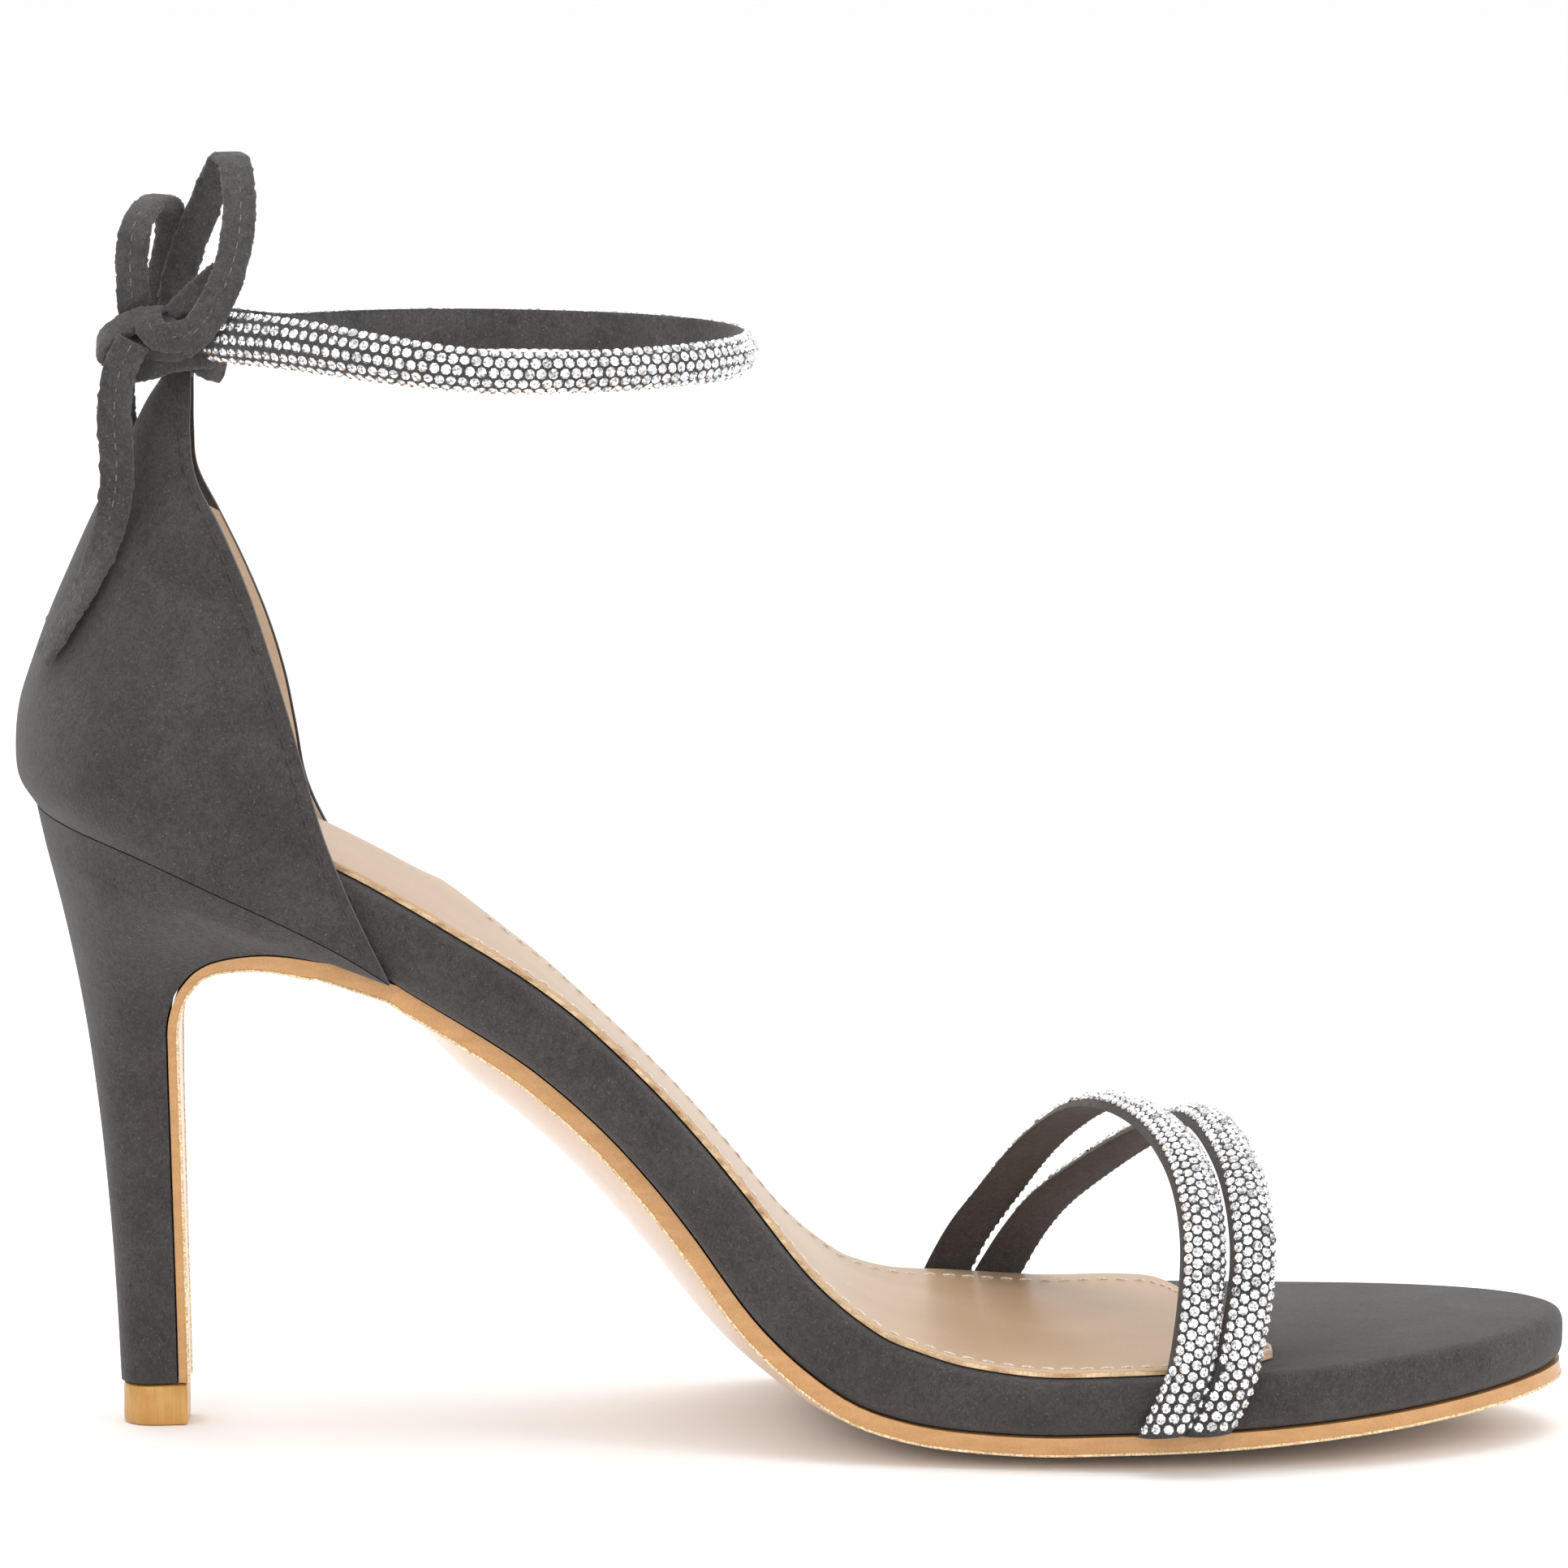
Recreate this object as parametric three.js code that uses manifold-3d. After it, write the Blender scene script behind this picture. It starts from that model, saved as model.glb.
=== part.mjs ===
// Ankle tie stiletto sandal, left shoe, in millimetres.
// +X points to the toe, +Y to the outer side and +Z up. The origin is on the floor, under the middle
// of the heel tip. "Near" is the inner side of the foot (-Y) and "far" the outer side (+Y).
import * as THREE from 'three';
import Module from 'manifold-3d';

const wasm = await Module();
wasm.setup();

// Sizes of the last and the sole
const soleLength = 224.1;
const seatSetback = 16.85;
const seatRise = 89;
const ballHeight = 13.9;
const toeSpring = 4.3;
const seatWidth = 51.6;
const waistWidth = 48;
const ballWidth = 77.6;
const seatRound = 25;
const toeRound = 60;
const waistRoll = 1.5;
const outerSetback = 9;
const seatTilt = 3.2;
const seatLean = 0.1;
const footbedThickness = 10.4;
const outsoleThickness = 2.75;
const toeThinning = 0.15;
const outsoleInset = 1;
const waistInset = 3;
const outsoleCrown = 4.4;
const waistEdge = 2.9;
const ballCrown = 2.9;
const sockThickness = 1;
const sockInset = 1.6;

// Sizes of the heel
const tipLength = 9.6;
const tipWidth = 9.8;
const tipHeight = 6;
const stemLength = 7.7;
const breastReach = 35.95;
const flapThickness = 1.5;

// Sizes of the counter
const counterHeight = 65.2;
const counterWall = 1.9;
const counterEase = 0.4;
const outerWing = 4.2;
const tabLength = 3.3;
const tabWidth = 8.6;
const tabSetback = 3.1;

// Sizes of the straps
const strapWidth = 6.5;
const strapThickness = 2.6;
const strapRise = 34.4;
const strapEase = 0.2;
const ankleLength = 82.8;
const ankleWidth = 62;
const ankleNarrowing = 0.3;
const ankleAhead = 1.4;
const ankleGap = 0.75;
const ankleBackRise = 3.2;
const ankleOuterRise = 2;
const ankleBandWidth = 5.8;
const ankleEndWidth = 7.2;
const ankleBandThickness = 2.4;

// Sizes of the tie
const tieWidth = 5;
const tieThickness = 1.5;
const tieAhead = 0.9;

const clearance = 0.3;
const toeX = soleLength - seatSetback;
const degrees = Math.PI / 180;

// Colours of the photographed shoe
const suedeColour = 0x4e4c4c;
const sockColour = 0xcdb7a0;
const soleColour = 0xc8965f;
const tipColour = 0xc8964b;
const stoneColour = 0xd8dade;

// Rows run from the back of the seat to the toe. "at" is the share of the sole's length.
const profile = [
  { at: 0, rise: 1, spring: 0, thick: 1 },
  { at: 0.079, rise: 0.942, spring: 0, thick: 0.99 },
  { at: 0.162, rise: 0.854, spring: 0, thick: 0.975 },
  { at: 0.205, rise: 0.802, spring: 0, thick: 0.97 },
  { at: 0.236, rise: 0.759, spring: 0, thick: 0.97 },
  { at: 0.275, rise: 0.698, spring: 0, thick: 1 },
  { at: 0.318, rise: 0.62, spring: 0, thick: 0.985 },
  { at: 0.36, rise: 0.532, spring: 0, thick: 0.925 },
  { at: 0.399, rise: 0.4395, spring: 0, thick: 0.882 },
  { at: 0.436, rise: 0.343, spring: 0, thick: 0.878 },
  { at: 0.463, rise: 0.2665, spring: 0, thick: 0.895 },
  { at: 0.508, rise: 0.1365, spring: 0, thick: 0.955 },
  { at: 0.552, rise: 0.0555, spring: 0, thick: 0.982 },
  { at: 0.58, rise: 0.028, spring: 0, thick: 0.955 },
  { at: 0.606, rise: 0.01, spring: 0, thick: 0.88 },
  { at: 0.655, rise: -0.004, spring: 0, thick: 0.8 },
  { at: 0.704, rise: -0.001, spring: 0, thick: 0.79 },
  { at: 0.816, rise: 0, spring: 0.21, thick: 0.79 },
  { at: 0.918, rise: 0, spring: 0.6, thick: 0.76 },
  { at: 1, rise: 0, spring: 1, thick: 0.7 },
];

// Shares of the sole's length between which the outsole's waist widens to the ball, and between
// which its edge gets thinner to the toe
const waistShares = { start: 0.42, end: 0.56 };
const toeShares = { start: 0.7, end: 0.85 };

// Shares of the sole's length between which the waist rolls to its outer side
const roll = { start: 0.265, full: 0.365, fade: 0.4, end: 0.55 };

// How far the sole's profile stands back on its outer side, and how far the seat's top falls to it,
// as shares of their sizes
const outerSide = [
  { at: 0, back: 0, tilt: 1 },
  { at: 0.2, back: 0, tilt: 1 },
  { at: 0.236, back: 0, tilt: 0.95 },
  { at: 0.25, back: 0, tilt: 0.85 },
  { at: 0.258, back: 0, tilt: 0.75 },
  { at: 0.28, back: 0.12, tilt: 0.6 },
  { at: 0.3, back: 0.26, tilt: 0.3 },
  { at: 0.32, back: 0.3, tilt: 0.08 },
  { at: 0.34, back: 0.31, tilt: 0 },
  { at: 0.41, back: 0.34, tilt: 0 },
  { at: 0.454, back: 0.46, tilt: 0 },
  { at: 0.486, back: 0.58, tilt: 0 },
  { at: 0.515, back: 0.78, tilt: 0 },
  { at: 0.54, back: 1, tilt: 0 },
  { at: 0.56, back: 0.95, tilt: 0 },
  { at: 0.58, back: 0.7, tilt: 0 },
  { at: 0.6, back: 0.4, tilt: 0 },
  { at: 0.63, back: 0.12, tilt: 0 },
  { at: 0.65, back: 0, tilt: 0 },
  { at: 1, back: 0, tilt: 0 },
];

// Half widths of the footbed before its round ends, and the sideways shift of its middle line
const plan = [
  { at: 0, half: 0.5 * seatWidth, shift: 0 },
  { at: 0.124, half: 0.5 * seatWidth, shift: 0 },
  { at: 0.214, half: 0.497 * seatWidth, shift: 0 },
  { at: 0.258, half: 0.49 * seatWidth, shift: 0 },
  { at: 0.32, half: 0.5 * waistWidth, shift: 0.01 * ballWidth },
  { at: 0.4, half: 0.517 * waistWidth, shift: 0.015 * ballWidth },
  { at: 0.481, half: 0.38 * ballWidth, shift: 0.015 * ballWidth },
  { at: 0.557, half: 0.454 * ballWidth, shift: 0.012 * ballWidth },
  { at: 0.637, half: 0.495 * ballWidth, shift: 0.004 * ballWidth },
  { at: 0.718, half: 0.5 * ballWidth, shift: -0.012 * ballWidth },
  { at: 0.793, half: 0.485 * ballWidth, shift: -0.03 * ballWidth },
  { at: 0.874, half: 0.467 * ballWidth, shift: -0.043 * ballWidth },
  { at: 0.936, half: 0.445 * ballWidth, shift: -0.049 * ballWidth },
  { at: 1, half: 0.412 * ballWidth, shift: -0.058 * ballWidth },
];

// Levels of the suede-covered footbed from its top to its underside: depth as a share of its
// thickness, and how far the wall stands in from the widest line, as a share of it too
const footbedLevels = [
  { depth: 0, inset: 0.17 },
  { depth: 0.07, inset: 0.06 },
  { depth: 0.26, inset: 0 },
  { depth: 0.6, inset: 0.02 },
  { depth: 0.88, inset: 0.08 },
  { depth: 1, inset: 0.19 },
];

// Front of the sock: its two edges as shares of half the ball's width
const sockFront = [
  { at: 0.713, near: -0.977, far: 0.93 },
  { at: 0.735, near: -0.97, far: 0.86 },
  { at: 0.75, near: -0.955, far: 0.66 },
  { at: 0.78, near: -0.885, far: 0 },
  { at: 0.798, near: -0.79, far: -0.42 },
  { at: 0.809, near: -0.705, far: -0.68 },
];

// Sections of the heel from the tip up to the seat. "back" and "front" are level shares of the way
// from the stem to the seat's back and to the wings, "backUp" and "frontUp" shares of their heights.
const heelRows = [
  { back: 0.028, backUp: 0, front: 0.01, frontUp: 0, half: 0.18, taper: 0.12 },
  { back: 0.075, backUp: 0.136, front: 0.003, frontUp: 0.185, half: 0.19, taper: 0.12 },
  { back: 0.14, backUp: 0.276, front: -0.006, frontUp: 0.374, half: 0.208, taper: 0.13 },
  { back: 0.238, backUp: 0.428, front: -0.015, frontUp: 0.58, half: 0.242, taper: 0.14 },
  { back: 0.36, backUp: 0.568, front: -0.022, frontUp: 0.772, half: 0.308, taper: 0.16 },
  { back: 0.484, backUp: 0.678, front: -0.015, frontUp: 0.874, half: 0.41, taper: 0.19 },
  { back: 0.607, backUp: 0.766, front: 0.052, frontUp: 0.962, half: 0.545, taper: 0.2 },
  { back: 0.738, backUp: 0.847, front: 0.19, frontUp: 1.026, half: 0.7, taper: 0.17 },
  { back: 0.877, backUp: 0.923, front: 0.457, frontUp: 1.058, half: 0.86, taper: 0.11 },
  { back: 0.943, backUp: 0.962, front: 0.733, frontUp: 1.046, half: 0.935, taper: 0.05 },
];

// Sections of the counter from the seam up to the tab. "back" and "front" are level shares of the
// way to the tab, "backUp" and "frontUp" of its height, "half" of the way from the tab's width to
// the full one, "round" how oval the plan is, and "wing" how far the outer front edge stands back.
const counterRows = [
  { back: 0, backUp: 0, front: 0, frontUp: 0, half: 0.955, round: 0, wing: 0 },
  { back: -0.129, backUp: 0.065, front: 0.108, frontUp: 0.075, half: 0.988, round: 0, wing: 0.45 },
  { back: -0.149, backUp: 0.149, front: 0.219, frontUp: 0.157, half: 1, round: 0, wing: 0.85 },
  { back: -0.115, backUp: 0.237, front: 0.329, frontUp: 0.251, half: 0.971, round: 0.15, wing: 1 },
  { back: -0.015, backUp: 0.332, front: 0.419, frontUp: 0.351, half: 0.899, round: 0.35, wing: 0.75 },
  { back: 0.105, backUp: 0.432, front: 0.503, frontUp: 0.444, half: 0.799, round: 0.55, wing: 0.52 },
  { back: 0.255, backUp: 0.538, front: 0.601, frontUp: 0.542, half: 0.663, round: 0.75, wing: 0.4 },
  { back: 0.408, backUp: 0.641, front: 0.708, frontUp: 0.638, half: 0.516, round: 0.9, wing: 0.4 },
  { back: 0.574, backUp: 0.744, front: 0.838, frontUp: 0.73, half: 0.36, round: 1, wing: 0.33 },
  { back: 0.719, backUp: 0.839, front: 0.968, frontUp: 0.809, half: 0.21, round: 1, wing: 0.15 },
  { back: 0.836, backUp: 0.91, front: 1.003, frontUp: 0.878, half: 0.092, round: 1, wing: 0 },
  { back: 0.941, backUp: 0.959, front: 1.001, frontUp: 0.94, half: 0.033, round: 1, wing: 0 },
  { back: 1, backUp: 1, front: 1, frontUp: 1, half: 0.003, round: 1, wing: 0 },
];

// Routes of the two toe straps from their inner to their outer foot. "at" is the share of the
// sole's length, "across" of half the ball's width and "rise" of the straps' height.
const rearStrap = [
  { at: 0.754, across: -1.065, rise: 0.19 },
  { at: 0.757, across: -1.045, rise: 0.36 },
  { at: 0.7585, across: -0.99, rise: 0.53 },
  { at: 0.7575, across: -0.9, rise: 0.67 },
  { at: 0.753, across: -0.75, rise: 0.805 },
  { at: 0.745, across: -0.57, rise: 0.9 },
  { at: 0.732, across: -0.33, rise: 0.97 },
  { at: 0.712, across: -0.08, rise: 1 },
  { at: 0.691, across: 0.16, rise: 0.96 },
  { at: 0.669, across: 0.41, rise: 0.825 },
  { at: 0.651, across: 0.62, rise: 0.66 },
  { at: 0.632, across: 0.82, rise: 0.44 },
  { at: 0.614, across: 0.95, rise: 0.235 },
  { at: 0.601, across: 1.015, rise: 0.04 },
];
const frontStrap = [
  { at: 0.784, across: -1.045, rise: 0.17 },
  { at: 0.7885, across: -1.03, rise: 0.345 },
  { at: 0.7907, across: -0.975, rise: 0.505 },
  { at: 0.7895, across: -0.875, rise: 0.66 },
  { at: 0.785, across: -0.7, rise: 0.8 },
  { at: 0.7785, across: -0.52, rise: 0.885 },
  { at: 0.7695, across: -0.31, rise: 0.945 },
  { at: 0.759, across: -0.12, rise: 0.955 },
  { at: 0.741, across: 0.12, rise: 0.88 },
  { at: 0.718, across: 0.36, rise: 0.755 },
  { at: 0.691, across: 0.6, rise: 0.59 },
  { at: 0.665, across: 0.8, rise: 0.415 },
  { at: 0.647, across: 0.955, rise: 0.22 },
  { at: 0.634, across: 1.035, rise: 0.04 },
];

// Feet of the straps on the side of the footbed: "deep" is the share of its thickness
const rearFeet = {
  near: [{ at: 0.733, deep: 0.94 }, { at: 0.739, deep: 0.6 }, { at: 0.747, deep: 0.2 }],
  far: [{ at: 0.594, deep: 0.3 }, { at: 0.59, deep: 0.6 }, { at: 0.587, deep: 0.94 }],
};
const frontFeet = {
  near: [{ at: 0.7605, deep: 0.94 }, { at: 0.766, deep: 0.6 }, { at: 0.7755, deep: 0.2 }],
  far: [{ at: 0.627, deep: 0.3 }, { at: 0.623, deep: 0.6 }, { at: 0.62, deep: 0.94 }],
};

// Routes of the tie's loops and ends: points from the top of the counter's tab, in millimetres, then
// the way that the face of the tie looks
const smallLoop = [
  { x: -7, y: -6.6, z: 6.8, face: [0, -1, 0] },
  { x: -7.4, y: -7.6, z: 12, face: [-0.3, -1, 0] },
  { x: -7.4, y: -7.8, z: 16.5, face: [-0.35, -1, 0] },
  { x: -6.8, y: -6.8, z: 20.1, face: [-0.35, -0.8, 0.5] },
  { x: -5.5, y: -4.2, z: 22.4, face: [-0.2, -0.4, 1] },
  { x: -3.9, y: -0.4, z: 23.3, face: [0, 0, 1] },
  { x: -2.7, y: 3.2, z: 21.7, face: [0.2, 0.6, 0.7] },
  { x: -2.4, y: 5.4, z: 17.9, face: [0.35, 1, 0.1] },
  { x: -3.3, y: 5.2, z: 12.9, face: [0.3, 1, -0.1] },
  { x: -4.5, y: 3.6, z: 9.5, face: [0.1, 1, -0.3] },
  { x: -5.1, y: 2.2, z: 7.7, face: [0, 1, -0.4] },
];
const largeLoop = [
  { x: -0.4, y: -13.5, z: 3.5, face: [-0.2, -1, 0] },
  { x: 1.9, y: -13.6, z: 5.3, face: [-0.1, -1, 0] },
  { x: 4.1, y: -14.5, z: 8.1, face: [0.1, -1, 0] },
  { x: 6.2, y: -13.8, z: 12.1, face: [0.3, -1, 0.1] },
  { x: 7.5, y: -11.2, z: 16.5, face: [0.35, -1, 0.1] },
  { x: 8.2, y: -8.8, z: 21.5, face: [0.35, -1, 0.2] },
  { x: 7.9, y: -6.4, z: 26.5, face: [0.3, -0.8, 0.4] },
  { x: 7.1, y: -3.6, z: 29.3, face: [0.1, -0.3, 1] },
  { x: 5.8, y: -0.6, z: 29.3, face: [-0.1, 0.4, 1] },
  { x: 4.2, y: 1.4, z: 25.9, face: [-0.3, 1, 0.5] },
  { x: 2.4, y: 1.9, z: 21.5, face: [-0.3, 1, 0.1] },
  { x: 0.5, y: 1.4, z: 17, face: [-0.3, 1, -0.1] },
  { x: -0.9, y: 0, z: 12.5, face: [-0.2, 1, -0.2] },
  { x: -1.7, y: -2, z: 8.7, face: [0, 1, -0.3] },
];
const nearEnd = [
  { x: -7.1, y: -12.9, z: 3.9, face: [0, -1, 0.1] },
  { x: -8.9, y: -13.1, z: 0, face: [0, -1, 0] },
  { x: -9.7, y: -13.1, z: -4, face: [0, -1, 0] },
  { x: -9.9, y: -13, z: -8.5, face: [0, -1, 0] },
  { x: -9.6, y: -12.9, z: -13, face: [0, -1, 0] },
  { x: -9.7, y: -12.8, z: -17.5, face: [-0.1, -1, 0] },
  { x: -10.5, y: -12.7, z: -22, face: [-0.3, -1, 0] },
  { x: -11.9, y: -12.6, z: -26.5, face: [-0.5, -0.9, 0.1] },
  { x: -14.2, y: -13.5, z: -31.7, face: [-0.78, -0.6, 0.12] },
  { x: -17.2, y: -13.9, z: -36.9, face: [-0.88, -0.46, 0.12] },
  { x: -20.5, y: -13.4, z: -42.1, face: [-0.9, -0.4, 0.12] },
];
const farEnd = [
  { x: -9.9, y: -2.3, z: -1.8, face: [-0.2, 0.6, 0.6] },
  { x: -10.3, y: 2.8, z: -6.9, face: [-0.1, 1, 0.6] },
  { x: -10.1, y: 6.4, z: -11.1, face: [0, 1, 0.3] },
  { x: -9.9, y: 9, z: -15.9, face: [0, 1, 0.2] },
  { x: -10.5, y: 10.8, z: -20.5, face: [-0.2, 1, 0.1] },
  { x: -11.8, y: 12, z: -25.5, face: [-0.4, 1, 0.1] },
  { x: -14.3, y: 13.7, z: -30.9, face: [-0.6, 0.8, 0.15] },
  { x: -17.4, y: 14.2, z: -36.5, face: [-0.72, 0.72, 0.15] },
  { x: -20.3, y: 13.8, z: -41.1, face: [-0.8, 0.65, 0.15] },
];

// The knot, as oval sections from its outer bulge to the loop's root
const knotSections = [
  { x: -13.3, y: -6.2, z: -0.1, high: 1.2, deep: 1.4 },
  { x: -12.3, y: -6.4, z: 0, high: 2.6, deep: 3 },
  { x: -10.1, y: -6.8, z: 0.7, high: 3.8, deep: 4.4 },
  { x: -7.1, y: -7, z: 1.9, high: 4.4, deep: 5 },
  { x: -3.9, y: -7.2, z: 2.5, high: 4.2, deep: 5 },
  { x: -1.1, y: -7.6, z: 2.7, high: 3.8, deep: 4.6 },
  { x: 0.7, y: -8, z: 2.9, high: 2.6, deep: 3.6 },
];
const knotArm = [
  { x: -3.7, y: -4, z: 2.3, face: [-1, 0, 0] },
  { x: -4.4, y: -1, z: 2.4, face: [-1, 0.1, 0] },
  { x: -3.5, y: 2, z: 2.7, face: [-0.9, 0.5, 0] },
  { x: -1.3, y: 4.6, z: 3.5, face: [-0.7, 0.7, 0] },
  { x: 1, y: 6.6, z: 4.1, face: [-0.7, 0.7, 0] },
];

function mix(a, b, share) {
  return a + (b - a) * share;
}

function smooth(share) {
  const s = Math.min(1, Math.max(0, share));
  return s * s * (3 - 2 * s);
}

// Value of a table's column at a place, on a smooth curve through its rows
function read(table, column, at) {
  const last = table.length - 1;
  let i = 0;
  while (i < last - 1 && table[i + 1].at < at) {
    i += 1;
  }
  const slope = (k) => {
    const before = table[Math.max(0, k - 1)];
    const after = table[Math.min(last, k + 1)];
    return (after[column] - before[column]) / (after.at - before.at);
  };
  const step = table[i + 1].at - table[i].at;
  const s = Math.min(1, Math.max(0, (at - table[i].at) / step));
  const start = table[i][column] * (1 + 2 * s) * (1 - s) ** 2;
  const end = table[i + 1][column] * s * s * (3 - 2 * s);
  return start + end + step * (slope(i) * s * (1 - s) ** 2 - slope(i + 1) * s * s * (1 - s));
}

function shareOf(x) {
  return (x + seatSetback) / soleLength;
}

function topHeight(x) {
  const at = shareOf(x);
  return ballHeight + seatRise * read(profile, 'rise', at) + toeSpring * read(profile, 'spring', at);
}

// How far the sole's upright leans to the toe: upright at the back, square to the arch further on
function lean(x) {
  const slope = Math.atan(topHeight(x - 0.5) - topHeight(x + 0.5));
  const grown = smooth((x + seatSetback) / (breastReach + seatSetback));
  return slope * grown - seatLean * (1 - grown);
}

function thickness(x) {
  return footbedThickness * read(profile, 'thick', shareOf(x));
}

// Near and far edge of the footbed's widest line, grown outwards by an amount
function edges(x, grow) {
  const half = read(plan, 'half', shareOf(x)) + grow;
  const shift = read(plan, 'shift', shareOf(x));
  const seatMiddle = seatRound - seatSetback;
  const toeMiddle = toeX - toeRound;
  const behind = Math.max(0, (seatMiddle - x) / (seatRound + grow));
  const ahead = Math.max(0, (x - toeMiddle) / (toeRound + grow));
  const round = Math.sqrt(Math.max(0, 1 - behind ** 2)) * Math.sqrt(Math.max(0, 1 - ahead ** 2));
  return [shift - half * round, shift + half * round];
}

// A point of the sole: x along it, y across it and n above the footbed's top, square to the sole
function solePoint(x, y, n) {
  const at = shareOf(x);
  const outer = (y / read(plan, 'half', at) + 1) / 2;
  const along = x + outerSetback * read(outerSide, 'back', at) * outer;
  const angle = lean(along);
  const upper = Math.min(1, Math.max(0, 1 + n / thickness(x)));
  const fall = seatTilt * read(outerSide, 'tilt', at) * outer * upper;
  const grown = smooth((at - roll.start) / (roll.full - roll.start));
  const faded = smooth((roll.end - at) / (roll.end - roll.fade));
  const tilt = -waistRoll * grown * faded * y / read(plan, 'half', at);
  const z = topHeight(along) + n * Math.cos(angle) + tilt - fall;
  return new THREE.Vector3(x + n * Math.sin(angle), y, z);
}

// Places along the sole where its outline is sampled: close together round the seat and the toe
function soleStations(grow) {
  const seatAngles = [6, 17, 30, 45, 60, 75];
  const toeAngles = [12, 24, 36, 47, 57, 66, 74, 80, 85];
  const middleSteps = 42;
  const seatMiddle = seatRound - seatSetback;
  const toeMiddle = toeX - toeRound;
  const seat = seatAngles.map((a) => seatMiddle - (seatRound + grow) * Math.cos(a * degrees));
  const middle = [];
  for (let i = 0; i <= middleSteps; i += 1) {
    middle.push(mix(seatMiddle, toeMiddle, i / middleSteps));
  }
  const toe = toeAngles.map((a) => toeMiddle + (toeRound + grow) * Math.sin(a * degrees));
  return [...seat, ...middle, ...toe];
}

// Closed body through rings of equal count. The first half of each ring faces its second half,
// so both ends are closed by strips from one half to the other.
function loft(rings) {
  const size = rings[0].length;
  const index = [];
  const quad = (a, b, c, d) => index.push(a, b, c, a, c, d);
  for (let r = 0; r + 1 < rings.length; r += 1) {
    for (let k = 0; k < size; k += 1) {
      const a = r * size + k;
      const b = r * size + (k + 1) % size;
      quad(a, b, b + size, a + size);
    }
  }
  const top = (rings.length - 1) * size;
  for (let k = 0; k + 1 < size / 2; k += 1) {
    quad(k, size - 1 - k, size - 2 - k, k + 1);
    quad(top + k, top + k + 1, top + size - 2 - k, top + size - 1 - k);
  }
  const geometry = new THREE.BufferGeometry().setFromPoints(rings.flat());
  const points = rings.flat();
  let volume = 0;
  for (let i = 0; i < index.length; i += 3) {
    const cross = points[index[i + 1]].clone().cross(points[index[i + 2]]);
    volume += points[index[i]].dot(cross);
  }
  geometry.setIndex(volume < 0 ? index.reverse() : index);
  return geometry;
}

function toSolid(geometry) {
  const vertProperties = new Float32Array(geometry.attributes.position.array);
  const triVerts = new Uint32Array(geometry.index.array);
  return new wasm.Manifold(new wasm.Mesh({ numProp: 3, vertProperties, triVerts }));
}

function fromSolid(solid) {
  const mesh = solid.getMesh();
  const geometry = new THREE.BufferGeometry();
  geometry.setAttribute('position', new THREE.BufferAttribute(mesh.vertProperties, 3));
  geometry.setIndex(new THREE.BufferAttribute(mesh.triVerts, 1));
  return geometry;
}

// Body swept along points with a section that is wide along its side and thick along its face
function sweep(points, faces, widths, thick, section) {
  const rings = points.map((point, i) => {
    const before = points[Math.max(0, i - 1)];
    const after = points[Math.min(points.length - 1, i + 1)];
    const tangent = after.clone().sub(before).normalize();
    const side = tangent.clone().cross(faces[i]).normalize();
    const out = side.clone().cross(tangent).normalize();
    return section.map(([u, v]) => point.clone()
      .addScaledVector(side, u * widths[i])
      .addScaledVector(out, v * thick));
  });
  return loft(rings);
}

// Strap section: flat towards the foot and crowned outside
const strapSection = [
  [-0.42, -0.5], [0.42, -0.5], [0.5, -0.3], [0.49, 0.05], [0.35, 0.36],
  [0.14, 0.5], [-0.14, 0.5], [-0.35, 0.36], [-0.49, 0.05], [-0.5, -0.3],
];
const tieSection = [
  [-0.5, -0.25], [-0.42, -0.5], [0.42, -0.5], [0.5, -0.25],
  [0.5, 0.25], [0.42, 0.5], [-0.42, 0.5], [-0.5, 0.25],
];

// A route with evenly spread points on a smooth curve through its rows
function route(rows, count) {
  const curve = new THREE.CatmullRomCurve3(rows, false, 'centripetal');
  return curve.getSpacedPoints(count - 1);
}

function tiePoint(row) {
  return new THREE.Vector3(tabMiddle + tieAhead + row.x, row.y, tabTop + row.z);
}

function tieBody(rows, count) {
  const points = route(rows.map(tiePoint), count);
  const faces = route(rows.map((r) => new THREE.Vector3(...r.face).normalize()), count);
  return sweep(points, faces, points.map(() => tieWidth), tieThickness, tieSection);
}

function makeFootbed() {
  const rings = footbedLevels.map(({ depth, inset }) => {
    const grow = -inset * footbedThickness;
    const xs = soleStations(grow);
    const near = xs.map((x) => solePoint(x, edges(x, grow)[0], -depth * thickness(x)));
    const far = xs.map((x) => solePoint(x, edges(x, grow)[1], -depth * thickness(x)));
    return [...near, ...far.reverse()];
  });
  return loft(rings);
}

function makeSock() {
  const tipShare = sockFront[sockFront.length - 1].at;
  const frontShare = sockFront[0].at;
  const frontSteps = 9;
  const rings = [clearance, clearance + sockThickness].map((n) => {
    const xs = soleStations(-sockInset).filter((x) => shareOf(x) < frontShare - 0.01);
    const sides = xs.map((x) => edges(x, -sockInset));
    for (let i = 0; i <= frontSteps; i += 1) {
      const at = mix(frontShare, tipShare, i / frontSteps);
      xs.push(at * soleLength - seatSetback);
      sides.push([read(sockFront, 'near', at), read(sockFront, 'far', at)].map((s) => s * ballWidth / 2));
    }
    const near = xs.map((x, i) => solePoint(x, sides[i][0], n));
    const far = xs.map((x, i) => solePoint(x, sides[i][1], n));
    return [...near, ...far.reverse()];
  });
  return loft(rings);
}

// The footbed's underside, where the heel, the counter and the outsole meet it
function seatPoint(x, y, drop) {
  return solePoint(x, y, -thickness(x) - drop);
}

const rimGrow = 1;
const rimBack = -seatSetback - rimGrow;
const rimFront = breastReach + footbedThickness * Math.sin(lean(breastReach));
const rimSamples = 14;

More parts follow.
